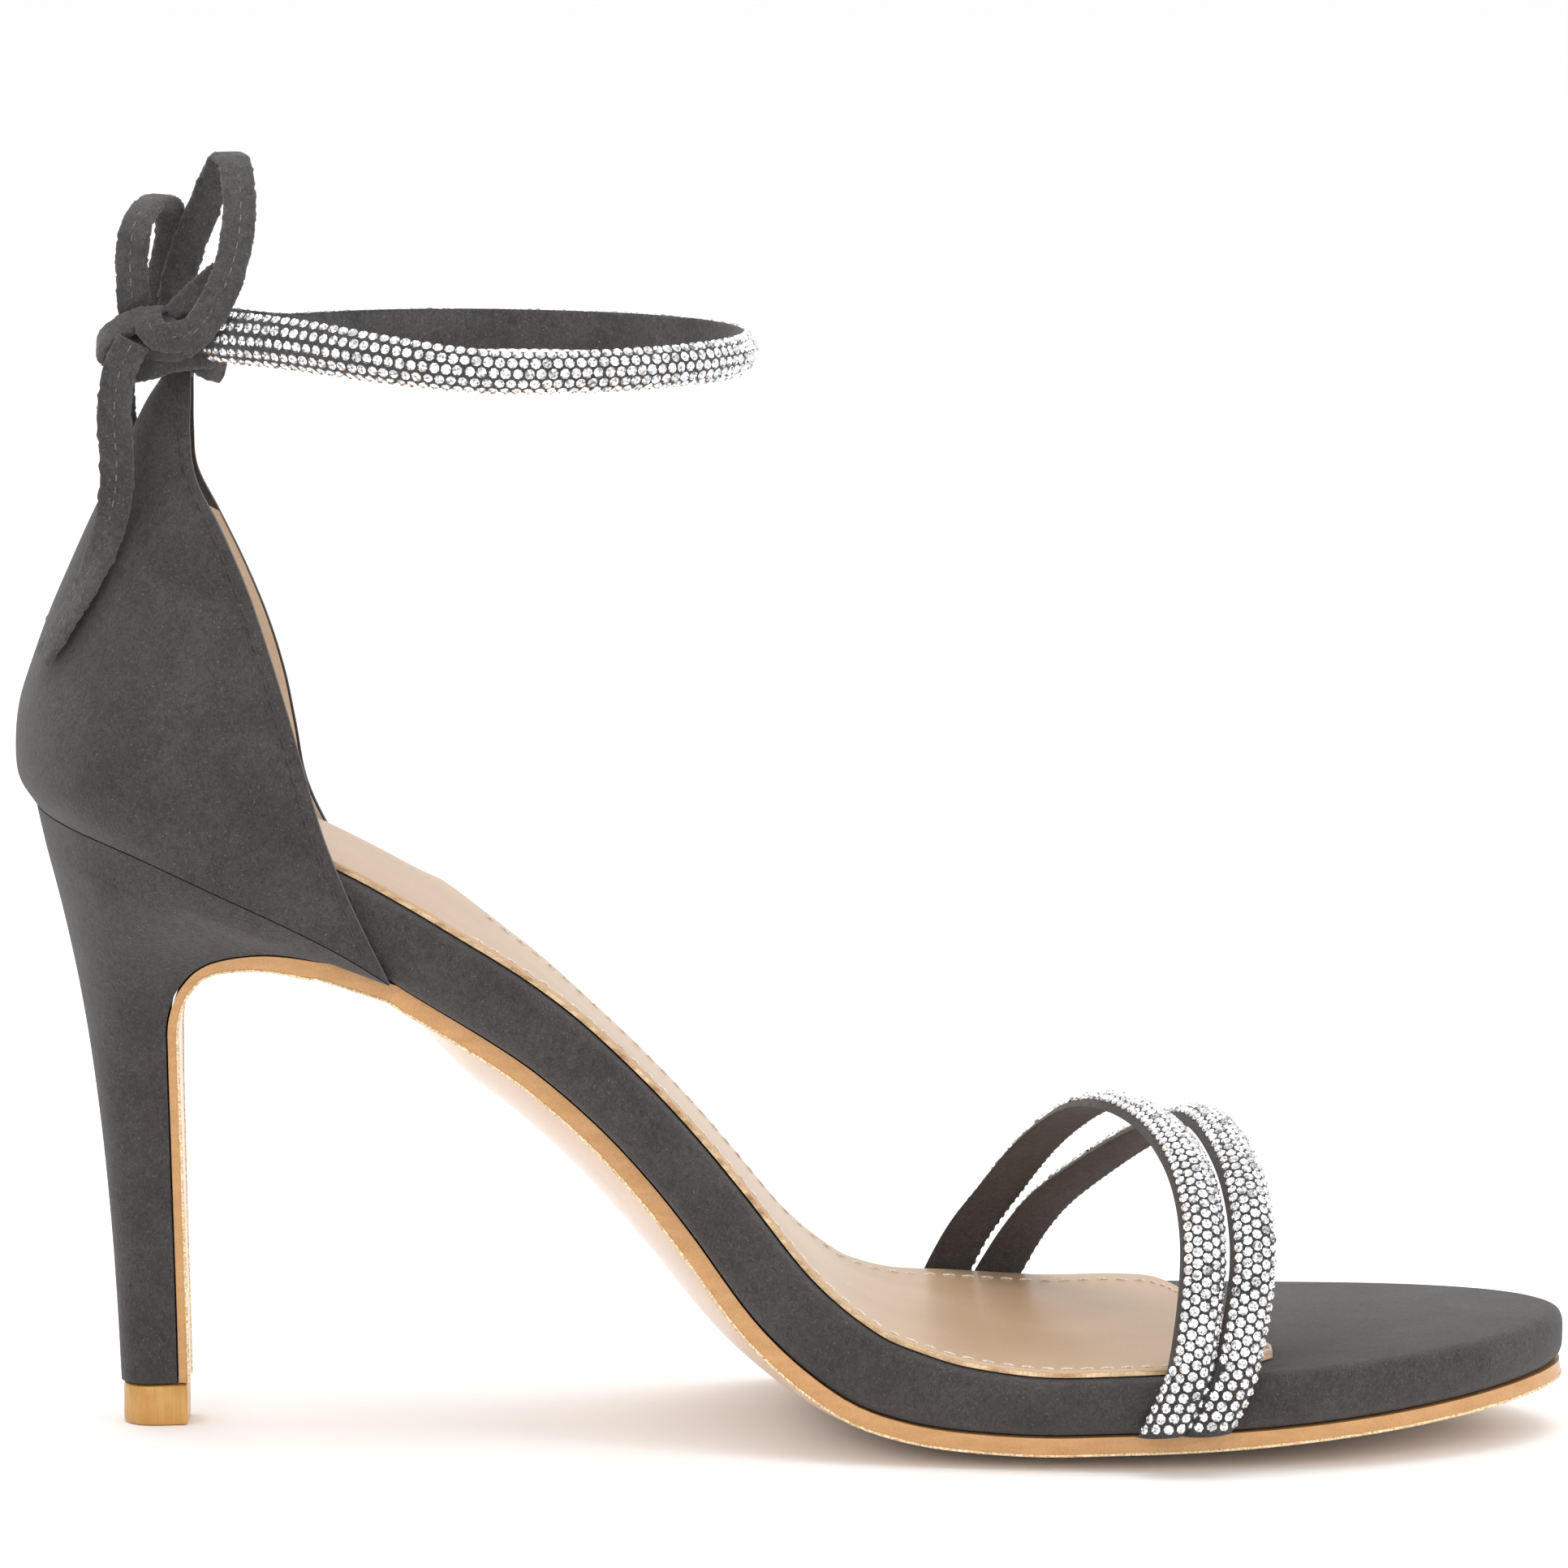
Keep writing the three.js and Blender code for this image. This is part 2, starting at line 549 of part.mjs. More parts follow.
// Shares from the back of the seat to the wings, close together round the back
function rimShares() {
  const shares = [];
  for (let i = 0; i < rimSamples; i += 1) {
    shares.push(1 - Math.cos((i + 0.6) / (rimSamples - 0.4) * 90 * degrees));
  }
  return shares;
}

function rimRing(drop) {
  const xs = rimShares().map((q) => mix(rimBack, rimFront, q));
  const near = xs.map((x) => seatPoint(x, edges(x, rimGrow)[0], drop));
  const far = xs.map((x) => seatPoint(x, edges(x, rimGrow)[1], drop));
  return [...near, ...far.reverse()];
}

const seamBack = seatPoint(rimBack, 0, 0);
const seamFront = seatPoint(rimFront, 0, clearance);
const stemBottom = tipHeight + clearance;
const tabTop = seamBack.z + counterHeight;
const tabMiddle = tabSetback + tabLength / 2;

// Back and front end of a heel section
function heelEnds(row) {
  return {
    back: {
      x: mix(-tipLength / 2, seamBack.x, row.back),
      z: mix(stemBottom, seamBack.z, row.backUp),
    },
    front: {
      x: mix(stemLength - tipLength / 2, seamFront.x, row.front),
      z: mix(stemBottom, seamFront.z, row.frontUp),
    },
  };
}

function makeHeel() {
  const roundShare = 0.52;
  const rings = heelRows.map((row) => {
    const { back, front } = heelEnds(row);
    const side = rimShares().map((q) => {
      const round = Math.sqrt(1 - Math.max(0, 1 - q / roundShare) ** 2);
      const half = row.half * (seatWidth / 2 + rimGrow) * round * (1 - row.taper * smooth(2 * q - 1));
      return [mix(back.x, front.x, q), half, mix(back.z, front.z, q)];
    });
    const near = side.map(([x, y, z]) => new THREE.Vector3(x, -y, z));
    const far = side.map(([x, y, z]) => new THREE.Vector3(x, y, z));
    return [...near, ...far.reverse()];
  });
  return loft([...rings, rimRing(clearance)]);
}

function makeTip() {
  const bevel = 0.5;
  const roundShare = 0.45;
  const taper = 0.1;
  const levels = [[0, bevel], [bevel, 0], [tipHeight - bevel, 0], [tipHeight, bevel]];
  const rings = levels.map(([z, inset]) => {
    const side = rimShares().map((q) => {
      const round = Math.sqrt(1 - Math.max(0, 1 - q / roundShare) ** 2);
      const half = (tipWidth / 2 - inset) * round * (1 - taper * smooth(2 * q - 1));
      return [mix(inset - tipLength / 2, tipLength / 2 - inset, q), half, z];
    });
    const near = side.map(([x, y, h]) => new THREE.Vector3(x, -y, h));
    const far = side.map(([x, y, h]) => new THREE.Vector3(x, y, h));
    return [...near, ...far.reverse()];
  });
  return loft(rings);
}

// Section of the outsole: flat above, a square edge with a small bevel, and a crowned underside
function outsoleRing(place, out, nearHalf, farHalf, edge, crown) {
  const bevel = 0.25 * edge;
  const shoulder = edge + 0.75 * crown;
  const across = (share) => mix(nearHalf, farHalf, share);
  const section = [
    [nearHalf, 0], [nearHalf, edge - bevel], [nearHalf + bevel, edge], [across(0.25), shoulder],
    [across(0.5), edge + crown],
    [across(0.75), shoulder], [farHalf - bevel, edge], [farHalf, edge - bevel], [farHalf, 0],
    [across(0.5), 0],
  ];
  return section.map(([y, down]) => place(y).addScaledVector(out, down));
}

// Rings under the footbed, from the waist to the toe. The waist is narrower, thinner and more crowned.
function soleRings() {
  const waistRound = 20;
  const xs = soleStations(-outsoleInset).filter((x) => x > rimFront + waistInset);
  return xs.map((x) => {
    const waist = smooth((waistShares.end - shareOf(x)) / (waistShares.end - waistShares.start));
    const [near, far] = edges(x, -outsoleInset);
    const inset = waist * (waistInset - outsoleInset);
    const rounded = Math.min(1, (far - near) / 2 / waistRound);
    const crown = rounded * mix(ballCrown, outsoleCrown, waist);
    const toe = smooth((shareOf(x) - toeShares.start) / (toeShares.end - toeShares.start));
    const edge = mix(outsoleThickness * (1 - toeThinning * toe), waistEdge, waist);
    const angle = lean(x);
    const out = new THREE.Vector3(-Math.sin(angle), 0, -Math.cos(angle));
    const place = (y) => seatPoint(x, y, clearance);
    return outsoleRing(place, out, near + inset, far - inset, edge, crown);
  });
}

// Rings of the flap that covers the heel's breast, from the seat down to the tip
function flapRings() {
  const thinning = 3.2;
  const breast = heelRows.map((row) => heelEnds(row).front);
  breast.push({ x: seamFront.x, z: seamFront.z });
  breast.reverse();
  const widest = waistWidth / 2 - waistInset;
  const halves = heelRows.map((row) => {
    const half = row.half * (1 - row.taper) * (seatWidth / 2 + rimGrow) - clearance;
    return Math.min(half, widest);
  });
  halves.push(widest);
  halves.reverse();
  return breast.map((point, i) => {
    const before = breast[Math.max(0, i - 1)];
    const after = breast[Math.min(breast.length - 1, i + 1)];
    const along = new THREE.Vector3(after.x - before.x, 0, after.z - before.z).normalize();
    const out = new THREE.Vector3(-along.z, 0, along.x);
    const thinned = smooth(thinning * i / (breast.length - 1));
    const edge = mix(waistEdge, flapThickness, thinned);
    const crown = outsoleCrown * (1 - thinned);
    const place = (y) => new THREE.Vector3(point.x, y, point.z).addScaledVector(out, clearance);
    return outsoleRing(place, out, -halves[i], halves[i], edge, crown);
  });
}

function makeOutsole() {
  const rings = [...soleRings().reverse(), ...flapRings()];
  return fromSolid(toSolid(loft(rings)).subtract(floorBlock()));
}

// Block under the floor, which gives the ball its flat rest
function floorBlock() {
  const corners = [[-1, -1], [-1, 1], [1, 1], [1, -1]];
  const level = (z) => corners.map(([u, v]) => new THREE.Vector3(u * 2 * soleLength, v * ballWidth, z));
  return toSolid(loft([level(-outsoleThickness), level(0)]));
}

function makeCounter() {
  const bowEnd = 0.4;
  const fullHalf = seatWidth / 2 + clearance + counterEase + counterWall;
  const base = rimRing(0);
  const chord = (axis, q) => mix(base[0][axis], base[rimSamples - 1][axis], q);
  const rings = counterRows.map((row) => {
    const back = mix(seamBack.x, tabSetback, row.back);
    const front = mix(seamFront.x, tabSetback + tabLength, row.front);
    const backZ = mix(seamBack.z, tabTop, row.backUp);
    const frontZ = mix(base[rimSamples - 1].z, tabTop, row.frontUp);
    const widest = mix(tabWidth / 2, fullHalf, row.half);
    const bow = Math.max(0, 1 - row.backUp / bowEnd);
    const wallAt = (inset, end) => rimShares().map((q, i) => {
      const seatX = mix(rimBack, rimFront, q);
      const reach = edges(seatX, rimGrow)[1] / (seatWidth / 2 + rimGrow);
      const oval = Math.sqrt(1 - (1 - q) ** 2);
      const half = (widest - inset) * mix(reach, oval, row.round);
      const x = mix(back + inset, end, q) + bow * (base[i].x - chord('x', q));
      const z = mix(backZ, frontZ, q) + bow * (base[i].z - chord('z', q));
      return [x, half, z];
    });
    const nearSide = (inset) => wallAt(inset, front)
      .map(([x, y, z]) => new THREE.Vector3(x, -y, z)).reverse();
    const farSide = (inset) => wallAt(inset, front - outerWing * row.wing)
      .map(([x, y, z]) => new THREE.Vector3(x, y, z));
    const outerWall = [...nearSide(0), ...farSide(0)];
    const innerWall = [...nearSide(counterWall), ...farSide(counterWall)].reverse();
    return [...outerWall, ...innerWall];
  });
  return loft(rings);
}

// A toe strap: a foot on each side of the footbed and an arch between them
function toeStrap(rows, feet) {
  const lift = clearance + strapEase + strapThickness / 2;
  const foot = (side) => ({ at, deep }) => {
    const x = at * soleLength - seatSetback;
    return solePoint(x, edges(x, lift)[side], -deep * thickness(x));
  };
  const arch = rows.map(({ at, across, rise }) => {
    const x = at * soleLength - seatSetback;
    return new THREE.Vector3(x, across * ballWidth / 2, topHeight(x) + rise * strapRise);
  });
  const points = route([...feet.near.map(foot(0)), ...arch, ...feet.far.map(foot(1))], 40);
  const faces = points.map((point, i) => {
    const before = points[Math.max(0, i - 1)];
    const after = points[Math.min(points.length - 1, i + 1)];
    return new THREE.Vector3(1, 0, 0).cross(after.clone().sub(before)).normalize();
  });
  return sweep(points, faces, points.map(() => strapWidth), strapThickness, strapSection);
}

function makeToeStraps() {
  const rear = toSolid(toeStrap(rearStrap, rearFeet));
  const front = toSolid(toeStrap(frontStrap, frontFeet));
  return fromSolid(rear.add(front));
}

function makeAnkleStrap() {
  const endAngle = 160;
  const outerStart = 0.8;
  const count = 49;
  const backX = tabMiddle + ankleAhead + ankleBandThickness / 2;
  const frontZ = tabTop + ankleGap + ankleEndWidth / 2 - ankleBackRise;
  const points = [];
  const faces = [];
  const widths = [];
  for (let i = 0; i < count; i += 1) {
    const share = 2 * i / (count - 1) - 1;
    const angle = share * endAngle * degrees;
    const back = smooth((Math.abs(share) - 0.45) / 0.4);
    const x = backX + ankleLength / 2 * (1 + Math.cos(angle)) - ankleBandThickness;
    const narrow = 1 - ankleNarrowing * smooth(2 * Math.abs(share) - 1);
    const y = ankleWidth / 2 * narrow * Math.sin(angle);
    const outer = smooth((share - outerStart) / (1 - outerStart));
    const rise = share < 0 ? ankleBackRise * back : ankleOuterRise * outer;
    points.push(new THREE.Vector3(x, y, frontZ + rise));
    const face = new THREE.Vector3(Math.cos(angle) / ankleLength, Math.sin(angle) / ankleWidth, 0);
    faces.push(face.normalize());
    widths.push(mix(ankleBandWidth, ankleEndWidth, back));
  }
  return sweep(points, faces, widths, ankleBandThickness, strapSection);
}

function makeKnot() {
  const count = 12;
  const rings = knotSections.map((s) => {
    const ring = [];
    for (let k = 0; k < count; k += 1) {
      const angle = (k + 0.5) / count * 360 * degrees;
      const offset = new THREE.Vector3(0, s.deep * Math.cos(angle), s.high * Math.sin(angle));
      ring.push(tiePoint(s).add(offset));
    }
    return ring;
  });
  return fromSolid(toSolid(loft(rings)).add(toSolid(tieBody(knotArm, 12))));
}

function material(colour, roughness) {
  return new THREE.MeshStandardMaterial({ color: colour, roughness, metalness: 0 });
}

const shoe = new THREE.Group();
const suede = material(suedeColour, 0.95);

function addPiece(name, geometry, finish) {
  const mesh = new THREE.Mesh(geometry, finish);
  mesh.name = name;
  shoe.add(mesh);
}

addPiece('outsole', makeOutsole(), material(soleColour, 0.4));
addPiece('footbed', makeFootbed(), suede);
addPiece('insole', makeSock(), material(sockColour, 0.3));
addPiece('heel', makeHeel(), suede);
addPiece('heel_tip', makeTip(), material(tipColour, 0.35));
addPiece('counter', makeCounter(), suede);
addPiece('toe_straps', makeToeStraps(), material(stoneColour, 0.2));
addPiece('ankle_strap', makeAnkleStrap(), material(stoneColour, 0.2));
addPiece('tie_knot', makeKnot(), suede);
addPiece('tie_loop_small', tieBody(smallLoop, 22), suede);
addPiece('tie_loop_large', tieBody(largeLoop, 26), suede);
addPiece('tie_end_near', tieBody(nearEnd, 22), suede);
addPiece('tie_end_far', tieBody(farEnd, 20), suede);

export default shoe;
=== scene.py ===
"""Ankle tie stiletto sandal, left shoe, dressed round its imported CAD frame.

Lengths are in millimetres until a mesh is made. +X points to the toe, +Y to the outer side of the
foot and +Z up, and the origin is on the floor under the middle of the heel tip.
"""
import functools
import math
import random

import bmesh
import bpy
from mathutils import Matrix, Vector, noise


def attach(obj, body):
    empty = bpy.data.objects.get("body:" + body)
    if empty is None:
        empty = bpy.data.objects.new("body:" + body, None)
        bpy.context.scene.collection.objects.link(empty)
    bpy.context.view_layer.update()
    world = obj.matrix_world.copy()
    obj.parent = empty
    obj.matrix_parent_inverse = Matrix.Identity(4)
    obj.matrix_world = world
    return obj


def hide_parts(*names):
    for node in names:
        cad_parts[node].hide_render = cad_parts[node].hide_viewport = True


MM = 0.001
rng = random.Random(7)

# Places at which the noise is read for each axis. noise.noise gives the same values in each run,
# which noise.noise_vector doesn't.
NOISE_SHIFTS = (Vector((9.3, -1.5, -7.9)), Vector((0, 0, 0)), Vector((6.3, 0.2, -2.7)))

# Sizes of the last and the sole, as in the CAD source
SOLE_LENGTH = 224.1
SEAT_SETBACK = 16.85
SEAT_RISE = 89
BALL_HEIGHT = 13.9
TOE_SPRING = 4.3
SEAT_WIDTH = 51.6
WAIST_WIDTH = 48
BALL_WIDTH = 77.6
SEAT_ROUND = 25
TOE_ROUND = 60
WAIST_ROLL = 1.5
OUTER_SETBACK = 9
SEAT_TILT = 3.2
SEAT_LEAN = 0.1
FOOTBED_THICKNESS = 10.4
OUTSOLE_THICKNESS = 2.75
TOE_THINNING = 0.15
OUTSOLE_INSET = 1
WAIST_INSET = 3
OUTSOLE_CROWN = 4.4
WAIST_EDGE = 2.9
BALL_CROWN = 2.9
SOCK_THICKNESS = 1
SOCK_INSET = 1.6

# Sizes of the heel
TIP_LENGTH = 9.6
TIP_WIDTH = 9.8
TIP_HEIGHT = 6
STEM_LENGTH = 7.7
BREAST_REACH = 35.95
FLAP_THICKNESS = 1.5
FLAP_CROWN = 0.2

# Sizes of the counter
COUNTER_HEIGHT = 65.2
COUNTER_WALL = 1.9
COUNTER_EASE = 0.4
OUTER_WING = 4.2
TAB_LENGTH = 3.3
TAB_WIDTH = 8.6
TAB_SETBACK = 3.1

# Sizes of the straps and their stones
STRAP_WIDTH = 6.5
STRAP_THICKNESS = 2.6
STRAP_RISE = 34.4
STRAP_EASE = 0.2
ANKLE_LENGTH = 82.8
ANKLE_WIDTH = 62
ANKLE_NARROWING = 0.3
ANKLE_AHEAD = 1.4
ANKLE_GAP = 0.75
ANKLE_BACK_RISE = 3.2
ANKLE_OUTER_RISE = 2
ANKLE_BAND_WIDTH = 5.8
ANKLE_END_WIDTH = 7.2
ANKLE_BAND_THICKNESS = 2.4
STONE_SIZE = 1.52
STONE_PITCH = 1.68
STONE_ROWS = 5
STONE_LIFT = 0.55
STONE_SCATTER = 0.07
STONE_SPREAD = 0.04
# Share of each stone's facets given the darker crystal: painted shade for the reflection of dark
# surroundings
PAINTED_SHADE_FACETS = 0.18
TOE_STRAP_BORDER = 1.2
STRAP_ARC = math.radians(65)
STRAP_STEP = 0.8

# Sizes of the tie and of the stitching
TIE_WIDTH = 5
TIE_THICKNESS = 1.5
TIE_AHEAD = 0.9
KNOT_BAND_WIDTH = 4.4
SUEDE_FUZZ = 0.3
ROUTE_STEP = 0.45
CURVE_STEPS = 24
STITCH_LENGTH = 2.1
STITCH_GAP = 0.8
STITCH_INSET = 2.5
TIE_STITCH_LENGTH = 1.7
TIE_STITCH_GAP = 0.4
TIE_STITCH_RADIUS = 0.1
SOCK_STITCH_RADIUS = 0.2
COUNTER_STITCH_RADIUS = 0.15
SOCK_NEAR_STITCH = 1.2
SOCK_FAR_STITCH = 5.5

CLEARANCE = 0.3
TOE_X = SOLE_LENGTH - SEAT_SETBACK

# The photograph's view, from the centre of its frame
CAMERA_PLACE = (0.09275, -1.65, 0.339)
CAMERA_TARGET = (0.09275, 0, 0.095)
CAMERA_LENS = 261.1


def rows(columns, *values):
    """A table with named columns. Without an "at" column, rows are spread evenly from 0 to 1."""
    names = columns.split()
    table = [dict(zip(names, row)) for row in values]
    for i, row in enumerate(table):
        row.setdefault("at", i / (len(table) - 1))
    return table


def route(*values):
    """A table of a ribbon's places and of the way that its face looks."""
    return rows("x y z face", *values)


# Rows run from the back of the seat to the toe. "at" is the share of the sole's length.
PROFILE = rows(
    "at rise spring thick",
    (0, 1, 0, 1), (0.079, 0.942, 0, 0.99), (0.162, 0.854, 0, 0.975), (0.205, 0.802, 0, 0.97),
    (0.236, 0.759, 0, 0.97), (0.275, 0.698, 0, 1), (0.318, 0.62, 0, 0.985), (0.36, 0.532, 0, 0.925),
    (0.399, 0.4395, 0, 0.882), (0.436, 0.343, 0, 0.878), (0.463, 0.2665, 0, 0.895),
    (0.508, 0.1365, 0, 0.955), (0.552, 0.0555, 0, 0.982), (0.58, 0.028, 0, 0.955),
    (0.606, 0.01, 0, 0.88), (0.655, -0.004, 0, 0.8), (0.704, -0.001, 0, 0.79),
    (0.816, 0, 0.21, 0.79), (0.918, 0, 0.6, 0.76), (1, 0, 1, 0.7),
)

# Shares between which the outsole's waist widens to the ball, between which its edge gets thinner to
# the toe, and between which the waist rolls
WAIST_SHARES = {"start": 0.42, "end": 0.56}
TOE_SHARES = {"start": 0.7, "end": 0.85}
ROLL = {"start": 0.265, "full": 0.365, "fade": 0.4, "end": 0.55}

# How far the sole's profile stands back on its outer side, and how far the seat's top falls to it
OUTER_SIDE = rows(
    "at back tilt",
    (0, 0, 1), (0.2, 0, 1), (0.236, 0, 0.95), (0.25, 0, 0.85), (0.258, 0, 0.75), (0.28, 0.12, 0.6),
    (0.3, 0.26, 0.3), (0.32, 0.3, 0.08), (0.34, 0.31, 0), (0.41, 0.34, 0), (0.454, 0.46, 0),
    (0.486, 0.58, 0), (0.515, 0.78, 0), (0.54, 1, 0), (0.56, 0.95, 0), (0.58, 0.7, 0),
    (0.6, 0.4, 0), (0.63, 0.12, 0), (0.65, 0, 0), (1, 0, 0),
)

# Half widths of the footbed before its round ends, and the sideways shift of its middle line
PLAN = rows(
    "at half shift",
    (0, 0.5 * SEAT_WIDTH, 0), (0.124, 0.5 * SEAT_WIDTH, 0), (0.214, 0.497 * SEAT_WIDTH, 0),
    (0.258, 0.49 * SEAT_WIDTH, 0), (0.32, 0.5 * WAIST_WIDTH, 0.01 * BALL_WIDTH),
    (0.4, 0.517 * WAIST_WIDTH, 0.015 * BALL_WIDTH), (0.481, 0.38 * BALL_WIDTH, 0.015 * BALL_WIDTH),
    (0.557, 0.454 * BALL_WIDTH, 0.012 * BALL_WIDTH),
    (0.637, 0.495 * BALL_WIDTH, 0.004 * BALL_WIDTH), (0.718, 0.5 * BALL_WIDTH, -0.012 * BALL_WIDTH),
    (0.793, 0.485 * BALL_WIDTH, -0.03 * BALL_WIDTH),
    (0.874, 0.467 * BALL_WIDTH, -0.043 * BALL_WIDTH),
    (0.936, 0.445 * BALL_WIDTH, -0.049 * BALL_WIDTH), (1, 0.412 * BALL_WIDTH, -0.058 * BALL_WIDTH),
)

# Wall of the footbed from its top to its underside: how far it stands in, as a share of its thickness
FOOTBED_LEVELS = rows(
    "at inset",
    (0, 0.17), (0.07, 0.06), (0.26, 0), (0.6, 0.02), (0.88, 0.08), (1, 0.19),
)

# Front of the sock: its two edges as shares of half the ball's width
SOCK_FRONT = rows(
    "at near far",
    (0.713, -0.977, 0.93), (0.735, -0.97, 0.86), (0.75, -0.955, 0.66), (0.78, -0.885, 0),
    (0.798, -0.79, -0.42), (0.809, -0.705, -0.68),
)

# Sections of the heel from the tip up to the seat: level shares of the way from the stem to the
# seat's back and to the wings, and shares of their heights
HEEL_ROWS = rows(
    "back back_up front front_up half taper",
    (0.028, 0, 0.01, 0, 0.18, 0.12), (0.075, 0.136, 0.003, 0.185, 0.19, 0.12),
    (0.14, 0.276, -0.006, 0.374, 0.208, 0.13), (0.238, 0.428, -0.015, 0.58, 0.242, 0.14),
    (0.36, 0.568, -0.022, 0.772, 0.308, 0.16), (0.484, 0.678, -0.015, 0.874, 0.41, 0.19),
    (0.607, 0.766, 0.052, 0.962, 0.545, 0.2), (0.738, 0.847, 0.19, 1.026, 0.7, 0.17),
    (0.877, 0.923, 0.457, 1.058, 0.86, 0.11), (0.943, 0.962, 0.733, 1.046, 0.935, 0.05),
)

# Sections of the counter from the seam up to the tab: level shares of the way to the tab, shares
# of its height and of its half width, and how oval the plan is
COUNTER_ROWS = rows(
    "back back_up front front_up half round wing",
    (0, 0, 0, 0, 0.955, 0, 0), (-0.129, 0.065, 0.108, 0.075, 0.988, 0, 0.45),
    (-0.149, 0.149, 0.219, 0.157, 1, 0, 0.85), (-0.115, 0.237, 0.329, 0.251, 0.971, 0.15, 1),
    (-0.015, 0.332, 0.419, 0.351, 0.899, 0.35, 0.75),
    (0.105, 0.432, 0.503, 0.444, 0.799, 0.55, 0.52), (0.255, 0.538, 0.601, 0.542, 0.663, 0.75, 0.4),
    (0.408, 0.641, 0.708, 0.638, 0.516, 0.9, 0.4), (0.574, 0.744, 0.838, 0.73, 0.36, 1, 0.33),
    (0.719, 0.839, 0.968, 0.809, 0.21, 1, 0.15), (0.836, 0.91, 1.003, 0.878, 0.092, 1, 0),
    (0.941, 0.959, 1.001, 0.94, 0.033, 1, 0), (1, 1, 1, 1, 0.003, 1, 0),
)

# Routes of the toe straps from their inner to their outer foot: "across" is the share of half the
# ball's width and "rise" of the straps' height
REAR_STRAP = rows(
    "at across rise",
    (0.754, -1.065, 0.19), (0.757, -1.045, 0.36), (0.7585, -0.99, 0.53), (0.7575, -0.9, 0.67),
    (0.753, -0.75, 0.805), (0.745, -0.57, 0.9), (0.732, -0.33, 0.97), (0.712, -0.08, 1),
    (0.691, 0.16, 0.96), (0.669, 0.41, 0.825), (0.651, 0.62, 0.66), (0.632, 0.82, 0.44),
    (0.614, 0.95, 0.235), (0.601, 1.015, 0.04),
)
FRONT_STRAP = rows(
    "at across rise",
    (0.784, -1.045, 0.17), (0.7885, -1.03, 0.345), (0.7907, -0.975, 0.505), (0.7895, -0.875, 0.66),
    (0.785, -0.7, 0.8), (0.7785, -0.52, 0.885), (0.7695, -0.31, 0.945), (0.759, -0.12, 0.955),
    (0.741, 0.12, 0.88), (0.718, 0.36, 0.755), (0.691, 0.6, 0.59), (0.665, 0.8, 0.415),
    (0.647, 0.955, 0.22), (0.634, 1.035, 0.04),
)

# Feet of the straps on the side of the footbed: "deep" is the share of its thickness
REAR_FEET = {
    "near": rows("at deep", (0.733, 0.94), (0.739, 0.6), (0.747, 0.2)),
    "far": rows("at deep", (0.594, 0.3), (0.59, 0.6), (0.587, 0.94)),
}
FRONT_FEET = {
    "near": rows("at deep", (0.7605, 0.94), (0.766, 0.6), (0.7755, 0.2)),
    "far": rows("at deep", (0.627, 0.3), (0.623, 0.6), (0.62, 0.94)),
}

# Routes of the tie: points from the top of the counter's tab, and the way that its face looks
SMALL_LOOP = route(
    (-7, -6.6, 6.8, (0, -1, 0)), (-7.4, -7.6, 12, (-0.3, -1, 0)),
    (-7.4, -7.8, 16.5, (-0.35, -1, 0)), (-6.8, -6.8, 20.1, (-0.35, -0.8, 0.5)),
    (-5.5, -4.2, 22.4, (-0.2, -0.4, 1)), (-3.9, -0.4, 23.3, (0, 0, 1)),
    (-2.7, 3.2, 21.7, (0.2, 0.6, 0.7)), (-2.4, 5.4, 17.9, (0.35, 1, 0.1)),
    (-3.3, 5.2, 12.9, (0.3, 1, -0.1)), (-4.5, 3.6, 9.5, (0.1, 1, -0.3)),
    (-5.1, 2.2, 7.7, (0, 1, -0.4)),
)
LARGE_LOOP = route(
    (-0.4, -13.5, 3.5, (-0.2, -1, 0)), (1.9, -13.6, 5.3, (-0.1, -1, 0)),
    (4.1, -14.5, 8.1, (0.1, -1, 0)), (6.2, -13.8, 12.1, (0.3, -1, 0.1)),
    (7.5, -11.2, 16.5, (0.35, -1, 0.1)), (8.2, -8.8, 21.5, (0.35, -1, 0.2)),
    (7.9, -6.4, 26.5, (0.3, -0.8, 0.4)), (7.1, -3.6, 29.3, (0.1, -0.3, 1)),
    (5.8, -0.6, 29.3, (-0.1, 0.4, 1)), (4.2, 1.4, 25.9, (-0.3, 1, 0.5)),
    (2.4, 1.9, 21.5, (-0.3, 1, 0.1)), (0.5, 1.4, 17, (-0.3, 1, -0.1)),
    (-0.9, 0, 12.5, (-0.2, 1, -0.2)), (-1.7, -2, 8.7, (0, 1, -0.3)),
)
NEAR_END = route(
    (-7.1, -12.9, 3.9, (0, -1, 0.1)), (-8.9, -13.1, 0, (0, -1, 0)), (-9.7, -13.1, -4, (0, -1, 0)),
    (-9.9, -13, -8.5, (0, -1, 0)), (-9.6, -12.9, -13, (0, -1, 0)),
    (-9.7, -12.8, -17.5, (-0.1, -1, 0)), (-10.5, -12.7, -22, (-0.3, -1, 0)),
    (-11.9, -12.6, -26.5, (-0.5, -0.9, 0.1)), (-14.2, -13.5, -31.7, (-0.78, -0.6, 0.12)),
    (-17.2, -13.9, -36.9, (-0.88, -0.46, 0.12)), (-20.5, -13.4, -42.1, (-0.9, -0.4, 0.12)),
)
FAR_END = route(
    (-9.9, -2.3, -1.8, (-0.2, 0.6, 0.6)), (-10.3, 2.8, -6.9, (-0.1, 1, 0.6)),
    (-10.1, 6.4, -11.1, (0, 1, 0.3)), (-9.9, 9, -15.9, (0, 1, 0.2)),
    (-10.5, 10.8, -20.5, (-0.2, 1, 0.1)), (-11.8, 12, -25.5, (-0.4, 1, 0.1)),
    (-14.3, 13.7, -30.9, (-0.6, 0.8, 0.15)), (-17.4, 14.2, -36.5, (-0.72, 0.72, 0.15)),
    (-20.3, 13.8, -41.1, (-0.8, 0.65, 0.15)),
)

